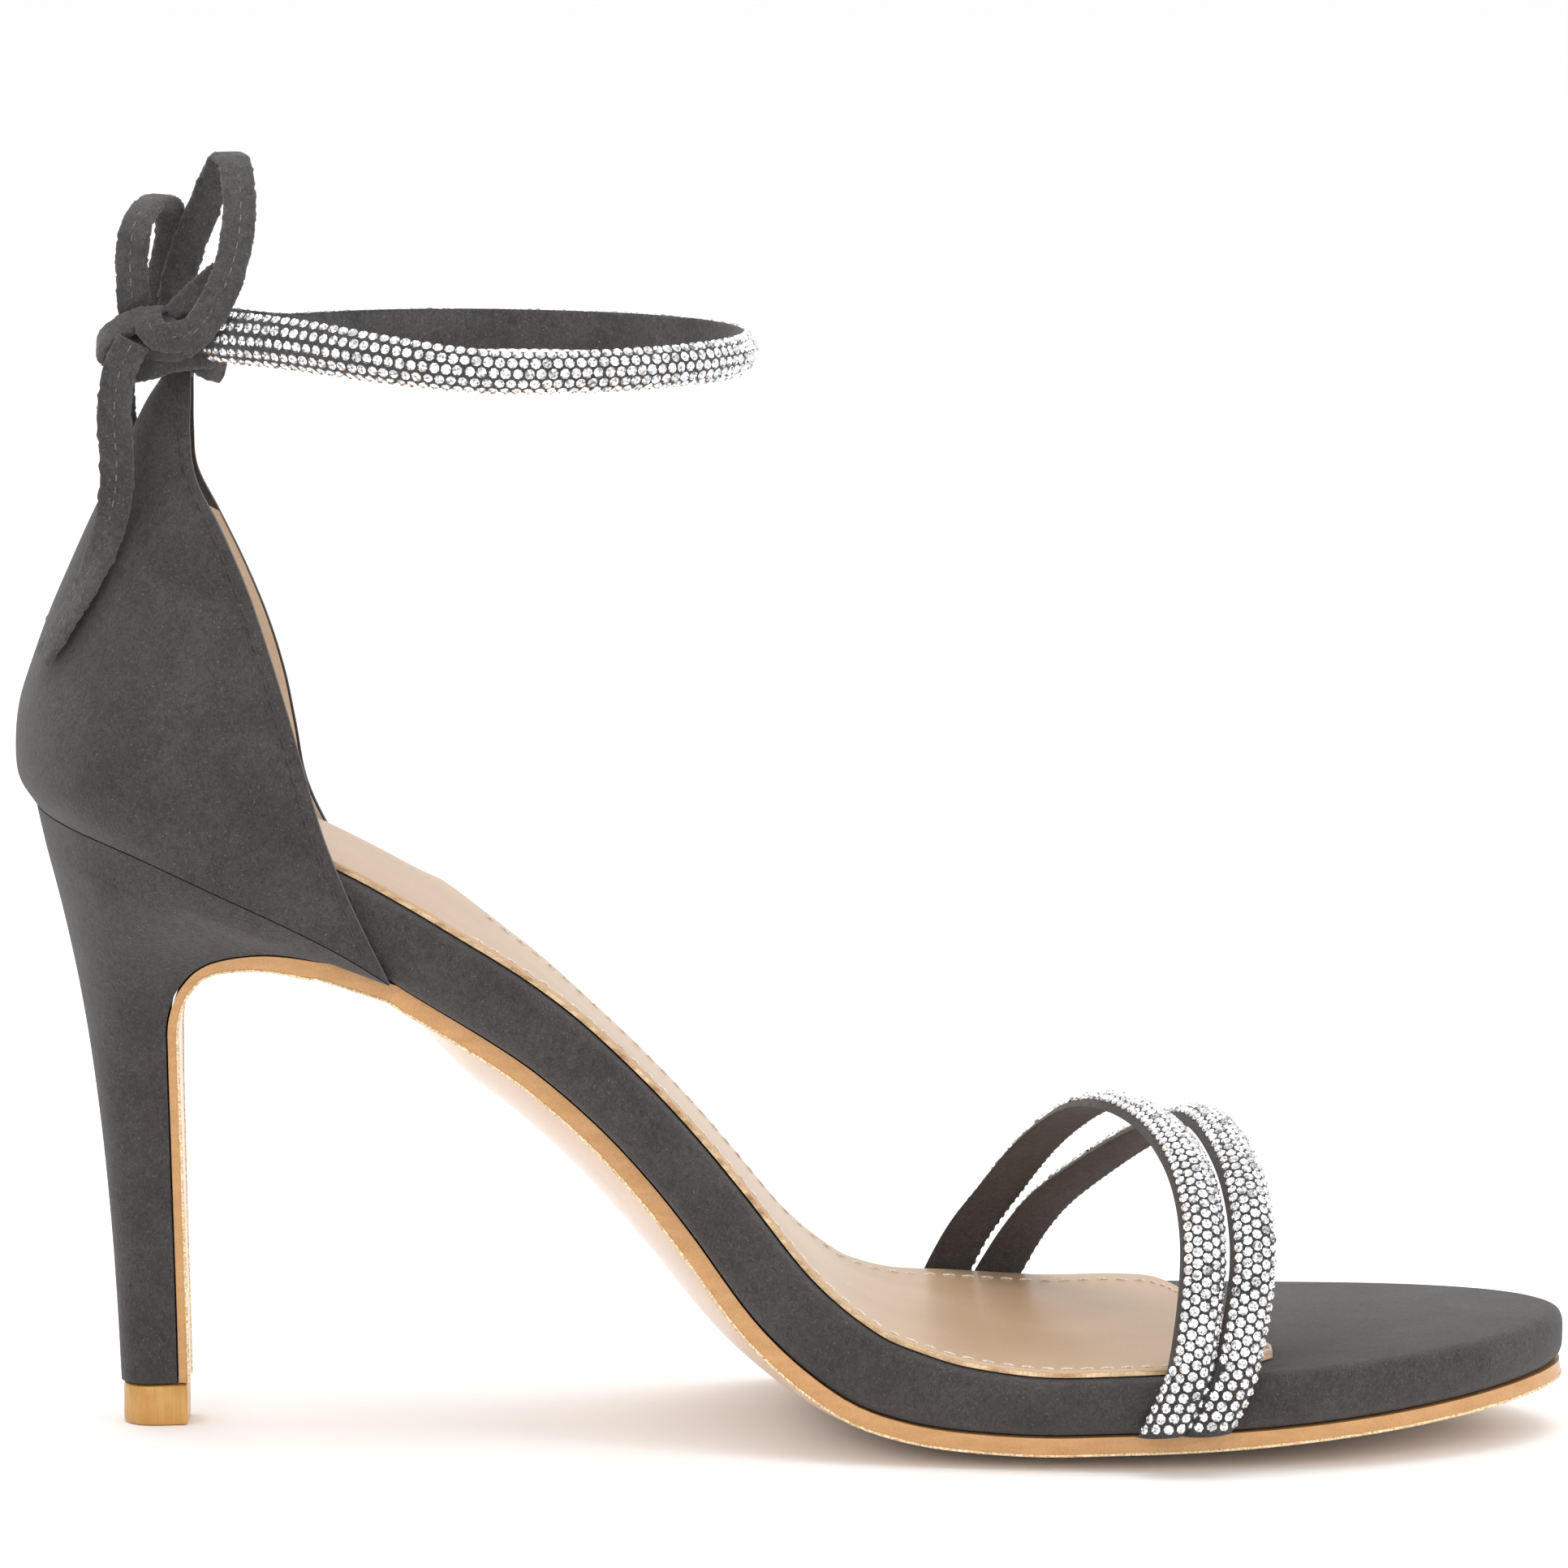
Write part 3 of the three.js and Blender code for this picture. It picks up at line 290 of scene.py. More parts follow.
# Bands of the knot, in the same way. The last five join the strap, the tab, the loops and the far
# end to it.
KNOT_BANDS = {
    "knot_wrap": route(
        (3.4, -12.4, 7, (0.1, -1, 0)), (1.8, -13.4, 5.6, (0, -1, 0)),
        (-0.8, -13.9, 4.6, (0, -1, 0.1)), (-3.2, -13.7, 4.8, (-0.1, -1, 0.3)),
        (-4.9, -12, 6.2, (-0.2, -0.7, 0.7)), (-5.2, -9.3, 7.4, (-0.2, -0.1, 1)),
        (-4.6, -6, 7.6, (0, 0.3, 1)),
    ),
    "knot_fold": route(
        (-4.2, -9, 7.6, (0, -0.4, 1)), (-6.6, -10.4, 6.8, (-0.2, -0.6, 0.8)),
        (-9.2, -10.6, 5.4, (-0.4, -0.7, 0.6)), (-11.4, -9.2, 3.6, (-0.9, -0.4, 0.3)),
        (-12, -6.4, 2.2, (-1, 0.1, 0)), (-10.8, -3.6, 1.2, (-0.6, 0.8, -0.2)),
        (-8, -2.4, 0.6, (0, 1, -0.2)),
    ),
    "knot_back": route(
        (-9.4, -7.2, -0.6, (-0.5, -0.9, -0.2)), (-6.4, -8.6, -0.4, (0, -1, -0.2)),
        (-2.8, -9, 0.8, (0, -1, -0.1)), (0.8, -8.4, 1.4, (0.1, -1, 0)),
        (4.4, -7, 1.6, (0.3, -1, 0)),
    ),
    "knot_root": route(
        (-2.6, -5, 6.6, (-0.6, -0.4, 0.7)), (-0.6, -5.6, 8.2, (-0.4, -0.7, 0.7)),
        (1.6, -6, 9.8, (-0.3, -0.9, 0.5)), (3.8, -6.4, 11.6, (-0.1, -1, 0.2)),
        (5.6, -7, 13, (0.1, -1, 0)),
    ),
    "knot_tuck": route(
        (0.4, -6, 1.8, (0, -1, 0)), (2.2, -6.6, 0.6, (0.1, -1, -0.1)),
        (4, -6.4, -0.4, (0.3, -0.9, -0.2)), (5.4, -4.6, -0.8, (0.7, -0.6, -0.2)),
    ),
    "knot_strap_link": route(
        (2.2, 8, 3.3, (-0.8, 0.6, 0)), (0.6, 5.4, 3.4, (-0.85, 0.5, 0)),
        (-1.3, 2.4, 3.4, (-0.9, 0.4, 0)), (-2.6, -0.8, 3.3, (-0.95, 0.3, 0)),
        (-3.4, -4.4, 3.2, (-1, 0.1, 0)),
    ),
    "knot_tab_loop": route(
        (0.2, -0.4, -2.4, (1, 0, 0)), (0.7, -0.4, 1, (1, 0, 0.1)),
        (0.6, -0.4, 4.4, (0.9, 0, 0.4)), (-1.1, -0.4, 6.6, (0, 0, 1)),
        (-3.4, -0.4, 5.4, (-0.9, 0, 0.5)), (-4, -0.4, 2, (-1, 0, 0)),
        (-3.1, -0.4, -2.4, (-1, 0, -0.1)),
    ),
    "knot_small_leg": route(
        (-4.7, 3.2, 9, (0.1, 1, -0.3)), (-5.1, 2.1, 7.5, (0, 1, -0.5)),
        (-5.4, 0.2, 5.8, (0, 0.8, -0.7)), (-5.2, -2.4, 4.6, (0, 0.5, -0.9)),
        (-4.6, -5, 3.8, (0, 0.4, -1)),
    ),
    "knot_large_leg": route(
        (-1.5, -1.4, 9.8, (-0.1, 1, -0.3)), (-1.9, -2.6, 7.8, (0, 1, -0.4)),
        (-2.3, -4.2, 5.8, (0, 0.9, -0.6)), (-2.8, -6, 4, (0, 0.8, -0.7)),
    ),
    "knot_end_root": route(
        (-10, -1.3, -2.8, (-0.2, 0.7, 0.6)), (-9.8, -2.8, -1.2, (-0.2, 0.6, 0.7)),
        (-9, -4.6, 0.4, (-0.2, 0.5, 0.8)), (-7.4, -6.2, 1.8, (-0.2, 0.4, 0.9)),
    ),
}
KNOT_CORE = {"x": -3, "y": -6.6, "z": 3.2, "long": 6, "deep": 4.6, "high": 3.6}


def mix(a, b, share):
    return a + (b - a) * share


def smooth(share):
    s = min(1, max(0, share))
    return s * s * (3 - 2 * s)


def read(table, column, at):
    """Value of a table's column at a place, on a smooth curve through its rows."""
    last = len(table) - 1
    i = 0
    while i < last - 1 and table[i + 1]["at"] < at:
        i += 1

    def slope(k):
        before, after = table[max(0, k - 1)], table[min(last, k + 1)]
        return (after[column] - before[column]) / (after["at"] - before["at"])

    low, high = table[i], table[i + 1]
    step = high["at"] - low["at"]
    s = min(1, max(0, (at - low["at"]) / step))
    start = low[column] * (1 + 2 * s) * (1 - s) ** 2
    end = high[column] * s * s * (3 - 2 * s)
    return start + end + step * (slope(i) * s * (1 - s) ** 2 - slope(i + 1) * s * s * (1 - s))


def share_of(x):
    return (x + SEAT_SETBACK) / SOLE_LENGTH


@functools.lru_cache(None)
def top_height(x):
    at = share_of(x)
    return BALL_HEIGHT + SEAT_RISE * read(PROFILE, "rise", at) + TOE_SPRING * read(PROFILE, "spring", at)


@functools.lru_cache(None)
def lean(x):
    """How far the sole's upright leans to the toe."""
    slope = math.atan(top_height(x - 0.5) - top_height(x + 0.5))
    grown = smooth((x + SEAT_SETBACK) / (BREAST_REACH + SEAT_SETBACK))
    return slope * grown - SEAT_LEAN * (1 - grown)


@functools.lru_cache(None)
def thickness(x):
    return FOOTBED_THICKNESS * read(PROFILE, "thick", share_of(x))


@functools.lru_cache(None)
def half_width(x):
    return read(PLAN, "half", share_of(x))


@functools.lru_cache(None)
def edges(x, grow):
    """Near and far edge of the footbed's widest line, grown outwards by an amount."""
    half = half_width(x) + grow
    shift = read(PLAN, "shift", share_of(x))
    behind = max(0, (SEAT_ROUND - SEAT_SETBACK - x) / (SEAT_ROUND + grow))
    ahead = max(0, (x - TOE_X + TOE_ROUND) / (TOE_ROUND + grow))
    rounded = math.sqrt(max(0, 1 - behind**2)) * math.sqrt(max(0, 1 - ahead**2))
    return shift - half * rounded, shift + half * rounded


def sole_point(x, y, n):
    """A point of the sole: x along it, y across it and n above the footbed's top, square to it."""
    at = share_of(x)
    outer = (y / half_width(x) + 1) / 2
    along = x + OUTER_SETBACK * read(OUTER_SIDE, "back", at) * outer
    angle = lean(along)
    upper = min(1, max(0, 1 + n / thickness(x)))
    fall = SEAT_TILT * read(OUTER_SIDE, "tilt", at) * outer * upper
    grown = smooth((at - ROLL["start"]) / (ROLL["full"] - ROLL["start"]))
    faded = smooth((ROLL["end"] - at) / (ROLL["end"] - ROLL["fade"]))
    tilt = -WAIST_ROLL * grown * faded * y / half_width(x)
    return Vector((x + n * math.sin(angle), y, top_height(along) + n * math.cos(angle) + tilt - fall))


def sole_stations(grow):
    """Places along the sole, close together round the seat and the toe."""
    seat_middle = SEAT_ROUND - SEAT_SETBACK
    toe_middle = TOE_X - TOE_ROUND
    steps = 110
    seat_angles = [2 + 5.5 * i for i in range(16)]
    toe_angles = [3 * i for i in range(1, 27)] + [80.5, 83, 85, 87, 88.6]
    seat = [seat_middle - (SEAT_ROUND + grow) * math.cos(math.radians(a)) for a in seat_angles]
    middle = [mix(seat_middle, toe_middle, i / steps) for i in range(steps + 1)]
    toe = [toe_middle + (TOE_ROUND + grow) * math.sin(math.radians(a)) for a in toe_angles]
    return seat + middle + toe


def seat_point(x, y, drop):
    return sole_point(x, y, -thickness(x) - drop)


def sole_ring(sides, place):
    """Ring along the near edge and back along the far one. Sides hold x, near and far."""
    return [place(x, y) for x, y, _ in sides] + [place(x, y) for x, _, y in reversed(sides)]


RIM_GROW = 1
RIM_BACK = -SEAT_SETBACK - RIM_GROW
RIM_FRONT = BREAST_REACH + FOOTBED_THICKNESS * math.sin(lean(BREAST_REACH))
RIM_STEPS = 44
SEAM_BACK = seat_point(RIM_BACK, 0, 0)
SEAM_FRONT = seat_point(RIM_FRONT, 0, CLEARANCE)
STEM_BOTTOM = TIP_HEIGHT + CLEARANCE
TAB_TOP = SEAM_BACK.z + COUNTER_HEIGHT
TAB_MIDDLE = TAB_SETBACK + TAB_LENGTH / 2


def rim_shares():
    """Shares from the back of the seat to the wings, close together round the back."""
    return [1 - math.cos(math.radians(90 * (i + 0.2) / (RIM_STEPS - 0.8))) for i in range(RIM_STEPS)]


class Shape:
    """Points and faces that are gathered into one mesh. Each face has a material's number."""

    def __init__(self):
        self.points = []
        self.faces = []
        self.slots = []

    def add(self, points, faces, slots):
        start = len(self.points)
        self.points += points
        self.faces += [[start + k for k in face] for face in faces]
        self.slots += slots

    def skin(self, rings, slots=None, caps="zip"):
        """Closed body through rings of equal count. "slots" has a material for each ring segment."""
        size = len(rings[0])
        slots = slots or [0] * size
        faces = []
        used = []
        for r in range(len(rings) - 1):
            for k in range(size):
                a, b = r * size + k, r * size + (k + 1) % size
                faces.append([a, b, b + size, a + size])
                used.append(slots[k])
        for start in (0, (len(rings) - 1) * size):
            if caps == "zip":
                pairs = range(size // 2 - 1)
                cap = [[start + k, start + size - 1 - k, start + size - 2 - k, start + k + 1] for k in pairs]
            else:
                cap = [list(range(start, start + size))]
            faces += cap
            used += [0] * len(cap)
        self.add([p for ring in rings for p in ring], faces, used)


def make_piece(name, shape, materials, sharp=40, nodes=(), flat=False):
    """Turns a shape into a piece that rides on the shoe's one body."""
    mesh = bpy.data.meshes.new(name)
    mesh.from_pydata([tuple(MM * v for v in p) for p in shape.points], [], shape.faces)
    mesh.polygons.foreach_set("material_index", shape.slots)
    for material in materials:
        mesh.materials.append(material)
    work = bmesh.new()
    work.from_mesh(mesh)
    bmesh.ops.recalc_face_normals(work, faces=work.faces)
    for face in work.faces:
        face.smooth = not flat
    for edge in work.edges:
        edge.smooth = len(edge.link_faces) < 2 or edge.calc_face_angle(0) < math.radians(sharp)
    work.to_mesh(mesh)
    work.free()
    piece = bpy.data.objects.new(name, mesh)
    bpy.context.scene.collection.objects.link(piece)
    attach(piece, "root")
    if nodes:
        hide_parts(*nodes)
    return piece


def line_lengths(points):
    """Distance along a line to each of its points."""
    lengths = [0]
    for a, b in zip(points, points[1:]):
        lengths.append(lengths[-1] + (b - a).length)
    return lengths


def find_place(lengths, goal):
    """Number of the last point before a distance, and the share of the way to the next one."""
    k = 0
    while k < len(lengths) - 2 and lengths[k + 1] < goal:
        k += 1
    return k, (goal - lengths[k]) / max(1e-6, lengths[k + 1] - lengths[k])


def catmull(points):
    """Dense points on a centripetal curve through the given ones, with the row place of each."""
    ends = [points[0] * 2 - points[1]] + points + [points[-1] * 2 - points[-2]]
    dense = []
    for i in range(len(points) - 1):
        p0, p1, p2, p3 = ends[i:i + 4]
        d0, d1, d2 = [(b - a).length ** 0.5 for a, b in ((p0, p1), (p1, p2), (p2, p3))]
        t1 = ((p1 - p0) / d0 - (p2 - p0) / (d0 + d1) + (p2 - p1) / d1) * d1
        t2 = ((p2 - p1) / d1 - (p3 - p1) / (d1 + d2) + (p3 - p2) / d2) * d1
        for k in range(CURVE_STEPS):
            s = k / CURVE_STEPS
            point = p1 * (1 + 2 * s) * (1 - s) ** 2 + p2 * s * s * (3 - 2 * s)
            dense.append((point + t1 * s * (1 - s) ** 2 - t2 * s * s * (1 - s), i + s))
    dense.append((points[-1].copy(), len(points) - 1))
    return dense


def spaced(dense, step):
    """Evenly spaced points on a dense line, and the row place of each."""
    lengths = line_lengths([point for point, _ in dense])
    count = max(2, round(lengths[-1] / step))
    result = []
    for i in range(count + 1):
        k, s = find_place(lengths, lengths[-1] * i / count)
        (a, row_a), (b, row_b) = dense[k], dense[k + 1]
        result.append((a.lerp(b, s), mix(row_a, row_b, s)))
    return result


def path_frames(points, faces):
    """For each point of a strap: the point, its tangent, its side and the way out of its face."""
    frames = []
    for i, point in enumerate(points):
        tangent = (points[min(len(points) - 1, i + 1)] - points[max(0, i - 1)]).normalized()
        side = tangent.cross(faces[i]).normalized()
        frames.append((point, tangent, side, side.cross(tangent).normalized()))
    return frames


def sweep(shape, frames, width, thick, section):
    rings = []
    for point, _, side, out in frames:
        rings.append([point + side * (u * width) + out * (v * thick) for u, v in section])
    shape.skin(rings, caps="flat")


def table_route(table, base):
    """Frames along a table's smooth route."""
    dense = catmull([base + Vector((row["x"], row["y"], row["z"])) for row in table])
    points = []
    faces = []
    for point, place in spaced(dense, ROUTE_STEP):
        i = min(len(table) - 2, int(place))
        a, b = Vector(table[i]["face"]).normalized(), Vector(table[i + 1]["face"]).normalized()
        points.append(point)
        faces.append(a.lerp(b, smooth(place - i)))
    return path_frames(points, faces)


def add_stitches(shape, path, ups, radius, length=STITCH_LENGTH, gap=STITCH_GAP):
    """Short thread bodies laid end to end along a path, with the way that the surface looks."""
    sides = 6
    profile = ((0, 0.3, -0.12), (0.12, 0.9, 0.02), (0.5, 1, 0.1), (0.88, 0.9, 0.02), (1, 0.3, -0.12))
    lengths = line_lengths(path)

    def at(goal):
        k, s = find_place(lengths, goal)
        return path[k].lerp(path[k + 1], s), ups[k].lerp(ups[k + 1], s).normalized()

    goal = gap
    while goal + length < lengths[-1]:
        (start, _), (end, _) = at(goal), at(goal + length)
        up = at(goal + length / 2)[1]
        along = (end - start).normalized()
        across = along.cross(up).normalized()
        rings = []
        for share, size, lift in profile:
            centre = start.lerp(end, share) + up * lift
            ring = []
            for k in range(sides):
                angle = 2 * math.pi * k / sides
                ring.append(centre + (across * math.cos(angle) + up * math.sin(angle)) * radius * size)
            rings.append(ring)
        shape.skin(rings, caps="flat")
        goal += length + gap


# Materials

def new_material(name, colour, roughness, **inputs):
    material = bpy.data.materials.new(name)
    material.use_nodes = True
    bsdf = material.node_tree.nodes["Principled BSDF"]
    bsdf.inputs["Base Color"].default_value = (*colour, 1)
    bsdf.inputs["Roughness"].default_value = roughness
    for key, value in inputs.items():
        bsdf.inputs[key.replace("_", " ")].default_value = value
    return material, material.node_tree, bsdf


def place_coords(tree, stretch=(1, 1, 1), turn=(0, 0, 0)):
    coords = tree.nodes.new("ShaderNodeTexCoord")
    mapping = tree.nodes.new("ShaderNodeMapping")
    mapping.inputs["Scale"].default_value = stretch
    mapping.inputs["Rotation"].default_value = turn
    tree.links.new(coords.outputs["Object"], mapping.inputs["Vector"])
    return mapping.outputs["Vector"]


def add_noise(tree, vector, size_mm, detail=3, rough=0.5, distortion=0):
    """Noise with features of about a size in millimetres."""
    texture = tree.nodes.new("ShaderNodeTexNoise")
    texture.inputs["Scale"].default_value = 1 / (size_mm * MM)
    texture.inputs["Detail"].default_value = detail
    texture.inputs["Roughness"].default_value = rough
    texture.inputs["Distortion"].default_value = distortion
    tree.links.new(vector, texture.inputs["Vector"])
    return texture.outputs["Fac"]


def add_ramp(tree, factor, stops):
    ramp = tree.nodes.new("ShaderNodeValToRGB")
    while len(ramp.color_ramp.elements) < len(stops):
        ramp.color_ramp.elements.new(0.5)
    for element, (place, colour) in zip(ramp.color_ramp.elements, stops):
        element.position = place
        element.color = (*colour, 1)
    tree.links.new(factor, ramp.inputs["Fac"])
    return ramp.outputs["Color"]


def add_mix(tree, blend, factor, a, b):
    """Mixes two colours. "factor" and each colour are a value or a socket."""
    node = tree.nodes.new("ShaderNodeMix")
    node.data_type = "RGBA"
    node.blend_type = blend
    sockets = [s for s in node.inputs if s.type == "RGBA"]
    for socket, value in ((node.inputs["Factor"], factor), (sockets[0], a), (sockets[1], b)):
        if isinstance(value, (int, float)):
            socket.default_value = value
        elif isinstance(value, tuple):
            socket.default_value = (*value, 1)
        else:
            tree.links.new(value, socket)
    return next(s for s in node.outputs if s.type == "RGBA")


def add_bump(tree, bsdf, height, strength, distance_mm, before=None):
    bump = tree.nodes.new("ShaderNodeBump")
    bump.inputs["Strength"].default_value = strength
    bump.inputs["Distance"].default_value = distance_mm * MM
    tree.links.new(height, bump.inputs["Height"])
    if before:
        tree.links.new(before, bump.inputs["Normal"])
    tree.links.new(bump.outputs["Normal"], bsdf.inputs["Normal"])
    return bump.outputs["Normal"]


def suede_material(name, dark, light, turn):
    """Napped suede: soft clouds, short streaks of nap, fine grain and a few pale fibres."""
    material, tree, bsdf = new_material(
        name, light, 0.95, Specular_IOR_Level=0.15, Sheen_Weight=0.22, Sheen_Roughness=0.55)
    bsdf.inputs["Sheen Tint"].default_value = (0.9, 0.88, 0.88, 1)
    plain = place_coords(tree)
    napped = place_coords(tree, (1, 1, 0.7), turn)
    clouds = add_noise(tree, plain, 12, 4, 0.6, 0.6)
    streaks = add_noise(tree, napped, 0.85, 4, 0.7, 1.6)
    grain = add_noise(tree, plain, 0.25, 3, 0.7)
    fibres = add_noise(tree, plain, 0.3, 1, 0.5)
    base = add_ramp(tree, clouds, ((0.3, dark), (0.7, light)))
    streaked = add_ramp(tree, streaks, ((0.34, (0.7, 0.7, 0.7)), (0.66, (1.28, 1.28, 1.28))))
    grained = add_ramp(tree, grain, ((0.3, (0.74, 0.74, 0.74)), (0.7, (1.24, 1.24, 1.24))))
    specks = add_ramp(tree, fibres, ((0.68, (0, 0, 0)), (0.76, (1, 1, 1))))
    colour = add_mix(tree, "MULTIPLY", 1, base, streaked)
    colour = add_mix(tree, "MULTIPLY", 1, colour, grained)
    pale = tuple(min(1, 2.1 * c) for c in light)
    colour = add_mix(tree, "MIX", specks, colour, pale)
    tree.links.new(colour, bsdf.inputs["Base Color"])
    coarse = add_bump(tree, bsdf, streaks, 0.7, 0.25)
    add_bump(tree, bsdf, grain, 0.6, 0.12, coarse)
    return material


def leather_material(name, dark, light, roughness, coat):
    """Smooth leather: faint clouds and a fine grain."""
    material, tree, bsdf = new_material(
        name, light, roughness, Coat_Weight=coat, Coat_Roughness=0.18, Specular_IOR_Level=0.45)
    plain = place_coords(tree)
    clouds = add_noise(tree, plain, 22, 3, 0.5, 0.3)
    grain = add_noise(tree, plain, 0.6, 4, 0.6)
    base = add_ramp(tree, clouds, ((0.32, dark), (0.68, light)))
    grained = add_ramp(tree, grain, ((0.3, (0.95, 0.95, 0.95)), (0.7, (1.04, 1.04, 1.04))))
    colour = add_mix(tree, "MULTIPLY", 1, base, grained)
    tree.links.new(colour, bsdf.inputs["Base Color"])
    add_bump(tree, bsdf, grain, 0.12, 0.05)
    return material


def edge_material(name, dark, light, roughness, speckle):
    """Waxed cut edge: fine layers along it and a few specks."""
    material, tree, bsdf = new_material(name, light, roughness, Coat_Weight=0.15)
    plain = place_coords(tree)
    layers = add_noise(tree, place_coords(tree, (0.3, 0.3, 1)), 1.4, 3, 0.5)
    specks = add_noise(tree, plain, 0.3, 2, 0.6)
    base = add_ramp(tree, layers, ((0.3, dark), (0.7, light)))
    speckled = add_ramp(tree, specks, ((0.3, (1 - speckle,) * 3), (0.7, (1 + speckle,) * 3)))
    colour = add_mix(tree, "MULTIPLY", 1, base, speckled)
    tree.links.new(colour, bsdf.inputs["Base Color"])
    add_bump(tree, bsdf, specks, 0.2, 0.05)
    return material


def thread_material(name, dark, light):
    material, tree, bsdf = new_material(name, light, 0.6, Sheen_Weight=0.2)
    twist = add_noise(tree, place_coords(tree), 0.35, 2)
    tree.links.new(add_ramp(tree, twist, ((0.35, dark), (0.65, light))), bsdf.inputs["Base Color"])
    add_bump(tree, bsdf, twist, 0.3, 0.05)
    return material


def stone_material(name, dark, light):
    """Foil-backed crystal: each stone has a brightness of its own."""
    material, tree, bsdf = new_material(
        name, light, 0.09, Metallic=0.92, Coat_Weight=0.6, Coat_Roughness=0.02)
    geometry = tree.nodes.new("ShaderNodeNewGeometry")
    tints = ((0, dark), (0.12, tuple(0.9 * c for c in light)), (1, light))
    shade = add_ramp(tree, geometry.outputs["Random Per Island"], tints)
    tree.links.new(shade, bsdf.inputs["Base Color"])
    return material


def gilt_material():
    """Painted line with glitter along the sole's lower corner."""
    material, tree, bsdf = new_material("gilt_line", (0.8, 0.62, 0.36), 0.35, Metallic=0.35)
    sparkle = add_noise(tree, place_coords(tree), 0.4, 2, 0.8)
    colours = ((0.35, (0.5, 0.3, 0.12)), (0.5, (0.8, 0.6, 0.35)), (0.66, (1, 0.9, 0.68)))
    tree.links.new(add_ramp(tree, sparkle, colours), bsdf.inputs["Base Color"])
    add_bump(tree, bsdf, sparkle, 0.8, 0.12)
    return material


def tip_material():
    """Amber plastic with faint upright marks of the grinding wheel."""
    material, tree, bsdf = new_material(
        "amber_plastic", (0.58, 0.3, 0.07), 0.38, Coat_Weight=0.2, Specular_IOR_Level=0.5)
    marks = add_noise(tree, place_coords(tree, (1, 1, 0.06)), 0.5, 3, 0.6)
    clouds = add_noise(tree, place_coords(tree), 4, 2)
    base = add_ramp(tree, clouds, ((0.3, (0.5, 0.24, 0.05)), (0.7, (0.62, 0.34, 0.09))))
    marked = add_ramp(tree, marks, ((0.3, (0.86, 0.86, 0.86)), (0.7, (1.1, 1.1, 1.1))))
    tree.links.new(add_mix(tree, "MULTIPLY", 1, base, marked), bsdf.inputs["Base Color"])
    add_bump(tree, bsdf, marks, 0.2, 0.05)
    return material


# Camera, floor and light

def make_camera():
    data = bpy.data.cameras.new("camera")
    data.lens = CAMERA_LENS
    data.sensor_width = 36
    data.clip_end = 60
    camera = bpy.data.objects.new("camera", data)
    camera.location = CAMERA_PLACE
    view = Vector(CAMERA_TARGET) - Vector(CAMERA_PLACE)
    camera.rotation_euler = view.to_track_quat("-Z", "Y").to_euler()
    bpy.context.scene.collection.objects.link(camera)
    bpy.context.scene.camera = camera


def add_area(name, place, target, size, power):
    data = bpy.data.lights.new(name, "AREA")
    data.shape = "RECTANGLE"
    data.size, data.size_y = size
    data.energy = power
    light = bpy.data.objects.new(name, data)
    light.location = place
    light.rotation_euler = (Vector(target) - Vector(place)).to_track_quat("-Z", "Y").to_euler()
    bpy.context.scene.collection.objects.link(light)


def make_stage():
    half = 15
    mesh = bpy.data.meshes.new("floor")
    corners = [(-half, -half, 0), (half, -half, 0), (half, half, 0), (-half, half, 0)]
    mesh.from_pydata(corners, [], [(0, 1, 2, 3)])
    material, _, _ = new_material("floor_white", (0.98, 0.98, 0.98), 0.9, Specular_IOR_Level=0.1)
    mesh.materials.append(material)
    floor = bpy.data.objects.new("floor", mesh)
    bpy.context.scene.collection.objects.link(floor)

    scene = bpy.context.scene
    scene.view_settings.view_transform = "Standard"
    world = bpy.data.worlds.new("studio")
    scene.world = world
    world.use_nodes = True
    tree = world.node_tree
    background = tree.nodes["Background"]
    coords = tree.nodes.new("ShaderNodeTexCoord")
    split = tree.nodes.new("ShaderNodeSeparateXYZ")
    tree.links.new(coords.outputs["Generated"], split.inputs["Vector"])
    greys = ((0, (0.95, 0.95, 0.95)), (0.3, (0.6, 0.6, 0.6)), (1, (1, 1, 1)))
    tree.links.new(add_ramp(tree, split.outputs["Z"], greys), background.inputs["Color"])
    background.inputs["Strength"].default_value = 1.2

    middle = (0.09, 0, 0.08)
    add_area("top_box", (0.1, 0.1, 1.3), middle, (1.3, 0.9), 7)
    add_area("front_box", (-0.55, -1.5, 0.75), middle, (0.7, 0.7), 4)
    add_area("side_box", (1.4, -0.7, 0.6), middle, (0.5, 0.9), 4)
    add_area("back_box", (-0.5, 1.4, 0.8), middle, (0.9, 0.6), 2)


# Sole, footbed and sock

def make_footbed(material):
    depths = (0, 0.02, 0.05, 0.09, 0.15, 0.24, 0.36, 0.5, 0.65, 0.78, 0.88, 0.95, 1)
    rings = []
    for depth in depths:
        grow = -read(FOOTBED_LEVELS, "inset", depth) * FOOTBED_THICKNESS
        sides = [(x, *edges(x, grow)) for x in sole_stations(grow)]
        rings.append(sole_ring(sides, lambda x, y: sole_point(x, y, -depth * thickness(x))))
    shape = Shape()
    shape.skin(rings)
    make_piece("footbed_cover", shape, [material], 50, ["footbed"])


def sock_sides(inset):
    """Places along the sock with its near and far edges, drawn in by an amount."""
    front, tip = SOCK_FRONT[0]["at"], SOCK_FRONT[-1]["at"]
    steps = 30
    grow = -SOCK_INSET - inset
    places = [(x, *edges(x, grow)) for x in sole_stations(grow) if share_of(x) < front - 0.004]
    for i in range(steps + 1):
        at = mix(front, tip, i / steps)
        near = read(SOCK_FRONT, "near", at) * BALL_WIDTH / 2 + inset
        far = read(SOCK_FRONT, "far", at) * BALL_WIDTH / 2 - inset
        if far > near:
            places.append((at * SOLE_LENGTH - SEAT_SETBACK, near, far))
    return places


